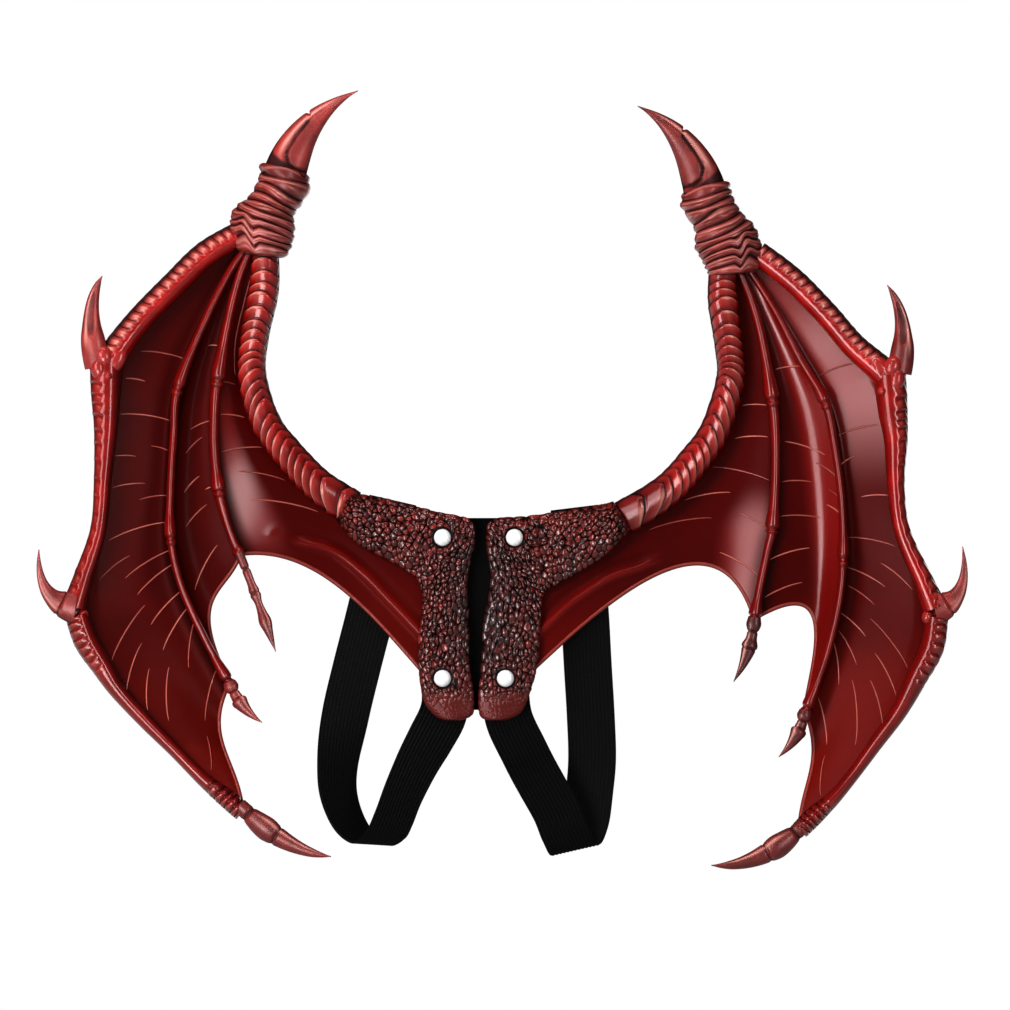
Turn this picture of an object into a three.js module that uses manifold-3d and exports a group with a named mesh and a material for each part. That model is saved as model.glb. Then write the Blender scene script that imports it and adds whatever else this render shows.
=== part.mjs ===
// Costume wings: two moulded foam wings with ribbed arms, finger bones, claws and scooped membranes,
// riveted through scaled shoulder plates to a back panel, with an elastic loop for each arm.
// Millimetres, +Z up. The outer face looks along -Y and the wearer stands on the +Y side.
// The origin is the middle of the panel's rear face, which lies against the wearer's back.
import * as THREE from "three";
import { mergeVertices } from "three/addons/utils/BufferGeometryUtils.js";
import Module from "manifold-3d";

const wasm = await Module();
wasm.setup();

// Driving sizes
const gap = 0.3; // clearance where one piece sits on another
const panelWall = 2;
const panelWidth = 64;
const panelTop = 60;
const panelBottom = -68;
const panelCorner = 8;
const strapWidth = 32;
const strapWall = 1.5;
const membraneWall = 3;
const plateEdge = 3; // thickness of a scale plate at its rim
const plateCrown = 3.5; // how much thicker it is along its middle
const pebbleRise = 0.7;
const rivetCap = 11.4; // cap diameter
const rivetDome = 2.8;
const rivetShank = 4; // shank diameter
const rivetHole = 4.8;
const rivetSeat = 13; // diameter of the flat that a cap sits on
const armRings = 25;
const armBow = 3.5; // how far the middle of an arm ring reaches towards the wrist
const upperFingerRings = 13;
const middleFingerRings = 15;
const ringCrest = 0.6; // where a ring is fullest, as a share of its length
const wrapFolds = 8;
const foldCrest = 1.03; // the wrap's size on a fold and between two folds
const foldDip = 0.92;
const sectionPoints = { arm: 6, finger: 6, rib: 5, wrap: 8 };
const clawSides = 6;
const roundSides = 8; // sides of a rivet and its hole
const drillReach = 20; // how far a drill runs past what it cuts
const slopeStep = 0.004; // share of a line over which its direction is taken

// Depths, measured forwards from the panel's rear face
const strapFront = panelWall + gap + strapWall;
const rootFront = strapFront + gap + membraneWall; // membrane face under the scale plate
const sweep = { left: 1.25, right: 1 }; // how far each wing stands forwards as it goes outwards
const outwards = { left: -1, right: 1 };
const sides = ["left", "right"];

// Rows of a table as objects with the named columns.
function table(columns, rows) {
  const names = columns.split(" ");
  return rows.map((row) => Object.fromEntries(names.map((name, index) => [name, row[index]])));
}

// The centreline columns give a place on each wing. Front is the membrane's face there, and width and
// height are the size of the bone that lies on it.
const boneColumns = "leftX leftZ rightX rightZ front width height";

const armRows = table(boneColumns, [
  [-143, 239, 162, 228, 22, 19, 13],
  [-144, 212, 162, 205, 21.5, 21, 14],
  [-150, 182, 166, 175, 19.5, 20, 14],
  [-152, 155, 167, 152, 16.5, 20, 14],
  [-143, 124, 157, 119, 13.5, 21, 14],
  [-128, 103, 142, 97, 11, 22, 14],
  [-108, 82, 123, 77, 8.5, 23, 13],
  [-86, 67, 96, 60, rootFront, 25, 11],
]);

// The membrane's inner edge goes on from the arm, hidden behind the scale plate.
const rootRows = table(boneColumns, [
  [-63, 59, 73, 55, rootFront, 0, 0],
  [-33, 50, 40, 49, rootFront, 0, 0],
  [-19, 32, 19, 32, rootFront, 0, 0],
  [-17, -1, 13, -1, rootFront, 0, 0],
  [-17, -35, 12, -35, rootFront, 0, 0],
  [-19, -63, 11, -63, rootFront, 0, 0],
]);

const upperFingerRows = table(boneColumns, [
  [-160, 250, 185, 237, 22, 16, 11],
  [-183, 236, 208, 219, 24, 17, 12],
  [-203, 217, 230, 197, 26, 16.5, 12],
  [-227, 192, 249, 175, 28, 17, 12],
  [-245, 168, 268, 158, 30, 19, 13],
]);

const middleFingerRows = table(boneColumns, [
  [-249, 164, 273, 156, 30, 22, 14],
  [-249, 142, 275, 132, 31.5, 20, 13],
  [-249, 119, 277, 112, 33, 16, 11],
  [-251, 85, 277, 84, 34.5, 12, 10],
  [-254, 52, 281, 52, 35.5, 11, 9],
  [-264, 20, 295, 19, 36, 13.5, 11],
  [-270, 1, 303, 0, 36.5, 17, 13],
]);

const lowerFingerRows = table(boneColumns, [
  [-268, -5, 304, -6, 36.5, 16, 12],
  [-262, -22, 301, -26, 36.5, 16.5, 12],
  [-252, -38, 291, -46, 36.2, 14.5, 11],
  [-241, -55, 279, -69, 35.6, 11, 9.5],
  [-222, -76, 263, -91, 34.6, 9.5, 8],
  [-203, -95, 250, -109, 33.4, 8.5, 7.5],
  [-184, -114, 236, -126, 32.2, 9.5, 8.5],
  [-168, -127, 223, -138, 31, 13, 10],
  [-158, -136, 213, -148, 30, 12.5, 10],
]);

const outerRibRows = table(boneColumns, [
  [-157, 239, 180, 225, 22, 5.5, 5],
  [-168, 222, 197, 198, 23.5, 5.5, 5],
  [-183, 192, 213, 167, 25, 6, 5],
  [-201, 147, 230, 137, 27, 6, 5],
  [-204, 115, 236, 109, 28, 5.5, 5],
  [-206, 80, 241, 72, 28.5, 5.5, 5],
  [-206, 47, 242, 33, 28.5, 5.5, 5],
  [-199, 15, 239, 2, 28, 5.5, 4.5],
  [-183, -21, 230, -35, 26.5, 5.5, 4.5],
  [-167, -50, 217, -69, 25, 6, 4.5],
]);

const innerRibRows = table(boneColumns, [
  [-153, 239, 173, 225, 22, 6, 5],
  [-160, 222, 181, 205, 22, 6.5, 5],
  [-167, 195, 188, 179, 22, 7, 5.5],
  [-175, 152, 195, 139, 22, 7.5, 5.5],
  [-177, 129, 197, 115, 21.5, 7, 5.5],
  [-177, 105, 197, 85, 21, 7, 5.5],
  [-174, 78, 195, 53, 20, 7, 5],
  [-169, 58, 192, 39, 19, 6, 4.5],
  [-164, 44, 187, 15, 18, 6, 4.5],
  [-160, 36, 183, -7, 17, 6.5, 4.5],
]);

// Where the ribs swell into a knob, as a share of the rib's rows, and by how much.
const ribKnobs = table("place swell", [
  [0.333, 0.4],
  [0.667, 0.35],
  [0.985, 0.5],
]);
const knobReach = 0.022;

// Collar sections from the claw down to the arm. Turn is the section's slope in degrees.
const wrapRows = table("leftX leftZ rightX rightZ turn front width height", [
  [-131, 291, 151, 279, 17, 22.5, 31, 21],
  [-130, 281, 151, 270, 6, 22.5, 32, 22],
  [-136, 272, 157, 261, 6, 22.5, 34, 22],
  [-143, 265, 163, 253, 5, 22.5, 38, 22],
  [-145, 255, 165, 243, 5, 22.5, 43, 21],
  [-145, 245, 168, 234, 4, 22.5, 40, 20],
  [-145, 236, 169, 225, 8, 22.5, 31, 18],
]);

// A claw's size along its length, as a share of its full width and height.
const taperColumns = "place share";
const hornTaper = table(taperColumns, [
  [0, 1],
  [0.28, 0.8],
  [0.45, 0.62],
  [0.6, 0.46],
  [0.78, 0.24],
  [1, 0.03],
]);
const spurTaper = table(taperColumns, [
  [0, 1],
  [0.25, 0.72],
  [0.5, 0.48],
  [0.75, 0.27],
  [1, 0.05],
]);
const knuckleTaper = table(taperColumns, [
  [0, 0.72],
  [0.14, 0.72],
  [0.27, 1],
  [0.42, 0.8],
  [0.62, 0.58],
  [0.82, 0.34],
  [1, 0.05],
]);
const leafTaper = table(taperColumns, [
  [0, 0.8],
  [0.14, 0.92],
  [0.26, 0.64],
  [0.42, 1],
  [0.68, 0.55],
  [1, 0.08],
]);

// Claws run from a base through a bend to a tip. Front is the depth of the middle of the claw.
const clawColumns = "leftX leftZ rightX rightZ front";
const claws = {
  thumb_claw: {
    rows: table(clawColumns, [
      [-131, 285, 151, 273, 33],
      [-120, 328, 141, 318, 35],
      [-81, 344, 105, 334, 46],
    ]),
    width: { left: 30, right: 30 },
    height: 20,
    taper: hornTaper,
  },
  upper_spike: {
    rows: table(clawColumns, [
      [-252, 165, 277, 159, 36],
      [-264, 201, 287, 193, 38],
      [-251, 221, 271, 215, 44],
    ]),
    width: { left: 18, right: 17 },
    height: 13,
    taper: spurTaper,
  },
  lower_spike: {
    rows: table(clawColumns, [
      [-269, 1, 303, 0, 42],
      [-295, 4, 327, 5, 44],
      [-293, 39, 321, 41, 48],
    ]),
    width: { left: 23, right: 23 },
    height: 13,
    taper: spurTaper,
  },
  tip_claw: {
    rows: table(clawColumns, [
      [-160, -131, 216, -144, 35],
      [-129, -162, 185, -174, 38],
      [-99, -165, 154, -171, 44],
    ]),
    width: { left: 16, right: 16 },
    height: 13,
    taper: knuckleTaper,
  },
  inner_rib_claw: {
    rows: table(clawColumns, [
      [-161, 38, 183, -6, 20],
      [-149, 9, 181, -31, 21],
      [-136, -29, 169, -49, 26],
    ]),
    width: { left: 8, right: 10.5 },
    height: 7,
    taper: leafTaper,
  },
  outer_rib_claw: {
    rows: table(clawColumns, [
      [-167, -49, 217, -68, 28],
      [-160, -67, 213, -87, 29],
      [-145, -76, 199, -99, 34],
    ]),
    width: { left: 10.5, right: 10.5 },
    height: 8,
    taper: leafTaper,
  },
};

// Scallops of the membrane between two ribs' ends: a cubic curve's handles, the outer one first.
const scallopColumns = "leftX leftZ rightX rightZ";
const scallops = {
  outer: table(scallopColumns, [
    [-161, -101, 214, -117],
    [-186, -87, 231, -103],
  ]),
  middle: table(scallopColumns, [
    [-198, 11, 216, -54],
    [-169, 9, 249, 32],
  ]),
  inner: table(scallopColumns, [
    [-99, 45, 154, 91],
    [-56, -27, 46, -35],
  ]),
};

// Membrane panels: how many cells wide, how far the sheet scoops back between its two bones at even
// steps from the wrist to the lower edge, how far the scoop leans to the inner bone, and what share
// lies flat beside that bone.
const panels = {
  outer: { cells: 6, scoop: table("deep", [[1], [7], [7], [7], [7]]), lean: 14, flat: 0 },
  middle: { cells: 4, scoop: table("deep", [[0], [6], [7.2], [6.8], [6.4]]), lean: 1, flat: 0 },
  inner: { cells: 7, scoop: table("deep", [[0], [1.5], [3], [6], [4]]), lean: 1, flat: 0.4 },
};
const membraneRows = 17;
const hemPull = 3; // how steeply the scallops fade out up the sheet

// Rungs across a scale plate, from its outer edge to its inner edge, arm end first.
const plateRungs = table("leftX leftZ leftInnerX leftInnerZ rightX rightZ rightInnerX rightInnerZ", [
  [-87, 77, -96, 59, 89, 71, 101, 53],
  [-67, 74, -84, 44, 70, 67, 88, 39],
  [-47, 69, -67, 35, 50, 64, 72, 27],
  [-27, 64, -51, 26, 28, 61, 55, 18],
  [-7, 59, -42, 19, 8, 59, 45, 12],
  [-3, 45, -39, 9, 4, 45, 42, 7],
  [-8, 19, -39, -4, 7, 19, 41, -5],
  [-7, -9, -41, -21, 2, -11, 40, -21],
  [-7, -36, -41, -40, 1, -38, 38, -40],
  [-4, -58, -38, -61, -1, -58, 33, -58],
  [-5, -71, -31, -71, 0, -72, 27, -70],
  [-13, -75, -24, -75, 7, -75, 17, -75],
]);
const pebbleRows = 28;
const pebbleColumns = 6;

const rivetRows = table("name leftX leftZ rightX rightZ", [
  ["top_rivet", -25, 47, 23, 47],
  ["bottom_rivet", -25, -47, 17, -47],
]);

// Strap from its upper end behind the plate, down, round the fold and up to the bottom rivet.
// Back is the depth behind the panel's rear face, turn the slope of its width in degrees, and yaw how
// far the left loop is twisted towards the wing.
const strapLayer = -(panelWall + gap + strapWall / 2);
const strapRows = table("leftX leftZ leftTurn leftYaw rightX rightZ rightTurn rightYaw back", [
  [-58, 72, -13, 0, 63, 69, 7, 0, strapLayer],
  [-65, 32, -13, 0, 67, 32, 6, 0, -2.2],
  [-73, -3, -14, 0, 70, -3, 4, 0, 5],
  [-82, -38, -13, 0, 72, -38, 3, 0, 14],
  [-90, -71, -12, 8, 74, -71, 2, 0, 23],
  [-96, -105, -6, 32, 75, -101, 0, 0, 29],
  [-95, -128, -3, 38, 73, -125, 1, 0, 31],
  [-86, -149, -3, 38, 70, -148, 6, 0, 29],
  [-73, -159, -4, 34, 64, -163, 13, 0, 22],
  [-63, -153, -10, 34, 57, -151, 19, 0, 15],
  [-57, -141, -20, 34, 51, -136, 24, 0, 12],
  [-51, -125, -25, 32, 41, -118, 26, 0, 9],
  [-42, -105, -27, 24, 35, -107, 27, 0, 6],
  [-33, -88, -28, 12, 29, -95, 27, 0, 1],
  [-25, -72, -22, 2, 20, -76, 22, 0, -2.4],
  [-23, -58, -8, 0, 17, -59, 8, 0, strapLayer],
  [-24, -36, 0, 0, 16, -36, 0, 0, strapLayer],
]);
const strapSteps = 32;

function finish(color, roughness, metalness = 0) {
  return new THREE.MeshStandardMaterial({ color, roughness, metalness });
}

const finishes = {
  membrane: finish("#5c0f0b", 0.3),
  bone: finish("#a51a14", 0.25),
  claw: finish("#8f3a36", 0.4),
  scales: finish("#4a2222", 0.4),
  rivet: finish("#ececec", 0.2, 0.3),
  elastic: finish("#101011", 0.85),
  panel: finish("#060606", 0.8),
};

// Value at share t of a cubic that runs from b to c with its neighbours a and d.
function smoothBetween(t, a, b, c, d) {
  const bend = 2 * a - 5 * b + 4 * c - d;
  const twist = 3 * (b - c) + d - a;
  return b + 0.5 * t * (c - a + t * (bend + t * twist));
}

// All columns of a table at u, which goes from 0 at the first row to 1 at the last.
function along(rows, u) {
  const place = u * (rows.length - 1);
  const index = THREE.MathUtils.clamp(Math.floor(place), 0, rows.length - 2);
  const row = (step) => rows[THREE.MathUtils.clamp(index + step, 0, rows.length - 1)];
  const blend = {};
  for (const name of Object.keys(rows[0])) {
    blend[name] = smoothBetween(place - index, row(-1)[name], row(0)[name], row(1)[name], row(2)[name]);
  }
  return blend;
}

// One wing's places, depths and sizes from a table that holds both.
function onWing(rows, side) {
  return rows.map((row) => ({
    x: row[`${side}X`],
    z: row[`${side}Z`],
    front: rootFront + (row.front - rootFront) * sweep[side],
    width: row.width,
    height: row.height,
  }));
}

// Unit direction of a centreline at u in the X-Z plane, and the direction square to it, outwards.
function headings(rows, u, side) {
  const before = along(rows, Math.max(0, u - slopeStep));
  const after = along(rows, Math.min(1, u + slopeStep));
  const ahead = new THREE.Vector3(after.x - before.x, 0, after.z - before.z).normalize();
  const across = new THREE.Vector3(ahead.z, 0, -ahead.x).multiplyScalar(-outwards[side]);
  return { ahead, across };
}

// Position-only geometry with shared vertices and no flat triangles, its faces pointing out.
function closed(geometry) {
  geometry.deleteAttribute("normal");
  geometry.deleteAttribute("uv");
  const merged = mergeVertices(geometry, 1e-4);
  const index = merged.getIndex().array;
  const kept = [];
  for (let i = 0; i < index.length; i += 3) {
    const [a, b, c] = index.slice(i, i + 3);
    if (a !== b && b !== c && c !== a) kept.push(a, b, c);
  }
  merged.setIndex(volumeOf(merged, kept) < 0 ? kept.reverse() : kept);
  return merged;
}

function volumeOf(geometry, index) {
  const position = geometry.getAttribute("position");
  const corner = (i) => new THREE.Vector3().fromBufferAttribute(position, index[i]);
  let six = 0;
  for (let i = 0; i < index.length; i += 3) six += corner(i).dot(corner(i + 1).cross(corner(i + 2)));
  return six / 6;
}

// Closed skin through rings of points, capped at both ends.
function loft(rings) {
  const count = rings[0].length;
  const index = [];
  for (let r = 0; r < rings.length - 1; r++) {
    for (let i = 0; i < count; i++) {
      const a = r * count + i;
      const b = r * count + ((i + 1) % count);
      index.push(a, b, a + count, b, b + count, a + count);
    }
  }
  const last = (rings.length - 1) * count;
  for (let i = 1; i < count - 1; i++) {
    index.push(0, i + 1, i, last, last + i, last + i + 1);
  }
  const geometry = new THREE.BufferGeometry().setFromPoints(rings.flat());
  geometry.setIndex(index);
  return closed(geometry);
}

function solidOf(geometry) {
  return new wasm.Manifold(new wasm.Mesh({
    numProp: 3,
    vertProperties: new Float32Array(geometry.getAttribute("position").array),
    triVerts: new Uint32Array(geometry.getIndex().array),
  }));
}

function geometryOf(solid) {
  const mesh = solid.getMesh();
  const geometry = new THREE.BufferGeometry();
  geometry.setAttribute("position", new THREE.BufferAttribute(new Float32Array(mesh.vertProperties), 3));
  geometry.setIndex(Array.from(mesh.triVerts));
  return closed(geometry);
}

// A piece with its neighbours' room cut away, keeping its largest body.
function seat(geometry, cutters) {
  let solid = solidOf(geometry);
  for (const cutter of cutters) solid = solid.subtract(solidOf(cutter));
  const bodies = solid.decompose();
  bodies.sort((a, b) => b.volume() - a.volume());
  return geometryOf(bodies[0]);
}

// A bone's section: a flat back and a round front. Each point has a place across the bone, a height
// over the membrane and a lead along the bone.
function boneSection(width, height, points, shape = {}) {
  const { outerShare = 1, innerShare = 1, bow = 0 } = shape;
  const section = [];
  for (let i = 0; i < points; i++) {
    const angle = (Math.PI * i) / (points - 1);
    const outer = Math.cos(angle);
    const share = THREE.MathUtils.lerp(innerShare, outerShare, (outer + 1) / 2);
    section.push({
      across: (outer * width * share) / 2,
      rise: Math.sin(angle) * height * share,
      lead: -bow * Math.sin(angle),
    });
  }
  return section;
}

// How far a grown bone reaches past its own two ends.
function endReach(u, grow) {
  return grow * (Number(u === 1) - Number(u === 0));
}

// A bone along a table's rows. The stations give a place and a shape for each section.
function bone(rows, side, points, stations, grow = 0) {
  const rings = stations.map(({ u, shape, swell = 1 }) => {
    const row = along(rows, u);
    const { ahead, across } = headings(rows, u, side);
    const width = row.width * swell + 2 * grow;
    const height = row.height * swell + 2 * grow;
    return boneSection(width, height, points, shape).map((point) =>
      new THREE.Vector3(row.x, -(row.front + gap + point.rise - grow), row.z)
        .addScaledVector(across, point.across)
        .addScaledVector(ahead, point.lead + endReach(u, grow)));
  });
  return loft(rings);
}

// Stations of a ringed bone: a groove and a crest for each ring.
function ringStations(rings, groove, crest) {
  const stations = [];
  for (let i = 0; i < rings; i++) {
    stations.push({ u: i / rings, shape: groove });
    stations.push({ u: (i + ringCrest) / rings, shape: crest });
  }
  stations.push({ u: 1, shape: groove });
  return stations;
}

function armBone(side, grow) {
  const groove = { outerShare: 0.88, innerShare: 0.84, bow: armBow };
  const crest = { bow: armBow };
  const stations = ringStations(armRings, groove, crest);
  return bone(onWing(armRows, side), side, sectionPoints.arm, stations, grow);
}

// The finger's ridges are on its outer half, and its inner half is smooth.
function fingerBone(rows, side, rings, grow) {
  const groove = { outerShare: 0.82, innerShare: 0.98 };
  return bone(onWing(rows, side), side, sectionPoints.finger, ringStations(rings, groove, {}), grow);
}

// The lower finger is smooth between its knuckle and a ringed end.
function lowerFingerBone(side, grow) {
  const groove = { outerShare: 0.86, innerShare: 0.9 };
  const smoothPlaces = [0, 0.06, 0.12, 0.18, 0.25, 0.33, 0.41, 0.5, 0.6, 0.69];
  const [ringStart, ringPitch, rings] = [0.76, 0.06, 4];
  const stations = smoothPlaces.map((u) => ({ u, shape: {} }));
  for (let i = 0; i < rings; i++) {
    const u = ringStart + i * ringPitch;
    stations.push({ u, shape: groove }, { u: u + ringPitch / 2, shape: {} });
  }
  stations.push({ u: 1, shape: groove });
  return bone(onWing(lowerFingerRows, side), side, sectionPoints.finger, stations, grow);
}

// A rib has plain lengths between its knobs.
function rib(rows, side, grow) {
  const plainPlaces = [0, 0.08, 0.16, 0.24, 0.4, 0.48, 0.56, 0.74, 0.82, 0.9];
  const stations = plainPlaces.map((u) => ({ u }));
  for (const knob of ribKnobs) {
    for (const share of [-1, -0.35, 0.35, 1]) {
      const u = Math.min(1, knob.place + share * knobReach);
      stations.push({ u, swell: 1 + knob.swell * (1 - share * share) });
    }
  }
  stations.sort((a, b) => a.u - b.u);
  return bone(onWing(rows, side), side, sectionPoints.rib, stations, grow);
}

function wristWrap(side, grow = 0) {
  const rows = onWing(wrapRows, side).map((row, index) => ({ ...row, turn: wrapRows[index].turn }));
  const rings = [];
  for (let i = 0; i <= 2 * wrapFolds; i++) {
    const u = i / (2 * wrapFolds);
    const row = along(rows, u);
    const share = i % 2 ? foldCrest : foldDip;
    const slope = THREE.MathUtils.degToRad(row.turn) * outwards[side];
    const across = new THREE.Vector3(Math.cos(slope), 0, Math.sin(slope)).multiplyScalar(outwards[side]);
    const width = row.width * share + 2 * grow;
    const height = row.height * share + 2 * grow;
    rings.push(boneSection(width, height, sectionPoints.wrap).map((point) =>
      new THREE.Vector3(row.x, -(row.front + gap + point.rise - grow), row.z - endReach(u, grow))
        .addScaledVector(across, point.across)));
  }
  return loft(rings);
}

function claw(shape, side) {
  const points = onWing(shape.rows, side).map(({ x, z, front }) => new THREE.Vector3(x, -front, z));
  const curve = new THREE.QuadraticBezierCurve3(...points);
  const rings = shape.taper.map(({ place, share }) => {
    const centre = curve.getPoint(place);
    const ahead = curve.getTangent(place);
    const across = new THREE.Vector3(ahead.z, 0, -ahead.x).normalize();
    const forward = new THREE.Vector3().crossVectors(ahead, across).normalize();
    const ring = [];
    for (let i = 0; i < clawSides; i++) {
      const angle = (2 * Math.PI * i) / clawSides;
      ring.push(centre.clone()
        .addScaledVector(across, (Math.cos(angle) * shape.width[side] * share) / 2)
        .addScaledVector(forward, (Math.sin(angle) * shape.height * share) / 2));
    }
    return ring;
  });
  return loft(rings);
}

// The four lines that the membrane hangs between, from the wrist to its lower edge.
function membraneRails(side) {
  const finger = [upperFingerRows, middleFingerRows, lowerFingerRows].map((rows) => onWing(rows, side));
  const outer = (v) => {
    const length = Math.min(2, Math.floor(v * finger.length));
    return along(finger[length], v * finger.length - length);
  };
  const outerRib = onWing(outerRibRows, side);
  const innerRib = onWing(innerRibRows, side);
  const arm = onWing([...armRows, ...rootRows], side);
  return [outer, (v) => along(outerRib, v), (v) => along(innerRib, v), (v) => along(arm, v)];
}

// A point of the membrane's face in one panel: s runs across it and v down it.
function membranePoint(from, to, scallop, panel, s, v) {
  const a = from(v);
  const b = to(v);
  const aEnd = from(1);
  const bEnd = to(1);
  const corners = [aEnd, ...scallop, bEnd].map((corner) => new THREE.Vector2(corner.x, corner.z));
  const hem = new THREE.CubicBezierCurve(...corners).getPoint(s);
  const pull = v ** hemPull;
  const lerp = THREE.MathUtils.lerp;
  const reach = Math.min(1, s / (1 - panel.flat));
  const sag = (share) => share * (1 - share ** panel.lean);
  const lowest = (1 / (panel.lean + 1)) ** (1 / panel.lean);
  const depth = along(panel.scoop, v).deep * sag(reach) / sag(lowest);
  return new THREE.Vector3(
    lerp(a.x, b.x, s) + pull * (hem.x - lerp(aEnd.x, bEnd.x, s)),
    -(lerp(a.front, b.front, reach) - depth),
    lerp(a.z, b.z, s) + pull * (hem.y - lerp(aEnd.z, bEnd.z, s)));
}

// The sheet as a box of cells bent to the panels, one wall thick.
function membrane(side, grow = 0) {
  const rails = membraneRails(side);
  const columns = [];
  Object.entries(panels).forEach(([name, panel], order) => {
    for (let i = 0; i < panel.cells; i++) columns.push({ name, order, s: i / panel.cells });
  });
  columns.push({ name: "inner", order: 2, s: 1 });
  const box = new THREE.BoxGeometry(1, 1, 1, columns.length - 1, 1, membraneRows);
  const position = box.getAttribute("position");
  for (let i = 0; i < position.count; i++) {
    const column = columns[Math.round((position.getX(i) + 0.5) * (columns.length - 1))];
    const v = 0.5 - position.getZ(i);
    const { name, order, s } = column;
    const scallop = onWing(scallops[name], side);
    const point = membranePoint(rails[order], rails[order + 1], scallop, panels[name], s, v);
    const behind = position.getY(i) > 0;
    point.y += behind ? membraneWall + grow : -grow;
    position.setXYZ(i, point.x, point.y, point.z);
  }
  return closed(box);
}

// The height of a plate's pebble: its inner points stand up and down by turns.
function pebble(row, column) {
  const rim = column === 0 || column === pebbleColumns || row === 0 || row === pebbleRows;
  const turn = (row + column) % 2 ? 1 : -1;
  return rim ? 0 : pebbleRise * turn;
}

// A plate through its rungs, with a flat back and a crowned, pebbled face.
function scalePlate(side, grow = 0) {
  const rungs = plateRungs.map((rung) => ({
    x: rung[`${side}X`],
    z: rung[`${side}Z`],
    innerX: rung[`${side}InnerX`],
    innerZ: rung[`${side}InnerZ`],
  }));
  const back = rootFront + gap - grow;
  const rings = [];
  for (let row = 0; row <= pebbleRows; row++) {
    const rung = along(rungs, row / pebbleRows);
    const outer = new THREE.Vector3(rung.x, 0, rung.z);
    const inner = new THREE.Vector3(rung.innerX, 0, rung.innerZ);
    const spread = grow / outer.distanceTo(inner);
    const ring = [];
    for (let column = 0; column <= pebbleColumns; column++) {
      const share = column / pebbleColumns;
      const crown = plateCrown * Math.sqrt(Math.sin(Math.PI * share));
      const point = outer.clone().lerp(inner, share * (1 + 2 * spread) - spread);
      ring.push(point.setY(-(back + plateEdge + crown + pebble(row, column) + 2 * grow)));
    }
    const [first, last] = [ring[0], ring[pebbleColumns]];
    ring.push(last.clone().setY(-back), first.clone().setY(-back));
    rings.push(ring);
  }
  const [armEnd, next] = rings;
  armEnd.forEach((point, index) => {
    const outward = point.clone().sub(next[index]).setY(0).normalize();
    point.addScaledVector(outward, grow);
  });
  return loft(rings);
}

// Turned about Y: a domed cap in front of the seat and a shank back to the panel.
function rivet(seatFront) {
  const shankEnd = gap;
  const domeSteps = 3;
  const profile = [[0, -(seatFront + rivetDome)]];
  for (let i = 1; i < domeSteps; i++) {
    const turn = ((Math.PI / 2) * i) / domeSteps;
    profile.push([(rivetCap / 2) * Math.sin(turn), -(seatFront + rivetDome * Math.cos(turn))]);
  }
  profile.push(
    [rivetCap / 2, -seatFront],
    [rivetShank / 2, -seatFront],
    [rivetShank / 2, -shankEnd],
    [0, -shankEnd]);
  const points = profile.map(([radius, y]) => new THREE.Vector2(radius, y));
  return closed(new THREE.LatheGeometry(points, roundSides));
}

// A round cutter along Y between two depths.
function drill(diameter, x, z, from, to) {
  const cutter = new THREE.CylinderGeometry(diameter / 2, diameter / 2, to - from, roundSides);
  cutter.translate(x, -(from + to) / 2, z);
  return closed(cutter);
}

// A flat band as a box of steps bent along the strap's rows.
function armStrap(side) {
  const rows = strapRows.map((row) => ({
    x: row[`${side}X`],
    y: row.back,
    z: row[`${side}Z`],
    turn: THREE.MathUtils.degToRad(row[`${side}Turn`]),
    yaw: THREE.MathUtils.degToRad(row[`${side}Yaw`]),
  }));
  const place = (u) => {
    const { x, y, z, turn, yaw } = along(rows, u);
    const across = new THREE.Vector3(Math.cos(turn), Math.tan(yaw), Math.sin(turn)).normalize();
    return { centre: new THREE.Vector3(x, y, z), across };
  };
  const box = new THREE.BoxGeometry(strapWidth, strapWall, 1, 1, 1, strapSteps);
  const position = box.getAttribute("position");
  for (let i = 0; i < position.count; i++) {
    const u = 0.5 - position.getZ(i);
    const { centre, across } = place(u);
    const before = place(Math.max(0, u - slopeStep)).centre;
    const ahead = place(Math.min(1, u + slopeStep)).centre.sub(before);
    const out = new THREE.Vector3().crossVectors(ahead, across).normalize();
    centre.addScaledVector(across, position.getX(i)).addScaledVector(out, position.getY(i));
    position.setXYZ(i, centre.x, centre.y, centre.z);
  }
  return closed(box);
}

function backPanel() {
  const half = panelWidth / 2;
  const outline = new THREE.Shape();
  outline.absarc(half - panelCorner, panelBottom + panelCorner, panelCorner, -Math.PI / 2, 0);
  outline.absarc(half - panelCorner, panelTop - panelCorner, panelCorner, 0, Math.PI / 2);
  outline.absarc(panelCorner - half, panelTop - panelCorner, panelCorner, Math.PI / 2, Math.PI);
  outline.absarc(panelCorner - half, panelBottom + panelCorner, panelCorner, Math.PI, 1.5 * Math.PI);
  const settings = { depth: panelWall, bevelEnabled: false, curveSegments: 4 };
  const slab = new THREE.ExtrudeGeometry(outline, settings);
  slab.rotateX(Math.PI / 2);
  return closed(slab);
}

const wings = new THREE.Group();

function addPiece(name, geometry, material) {
  const mesh = new THREE.Mesh(geometry, material);
  mesh.name = name;
  wings.add(mesh);
}

const panelHoles = [];

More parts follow.
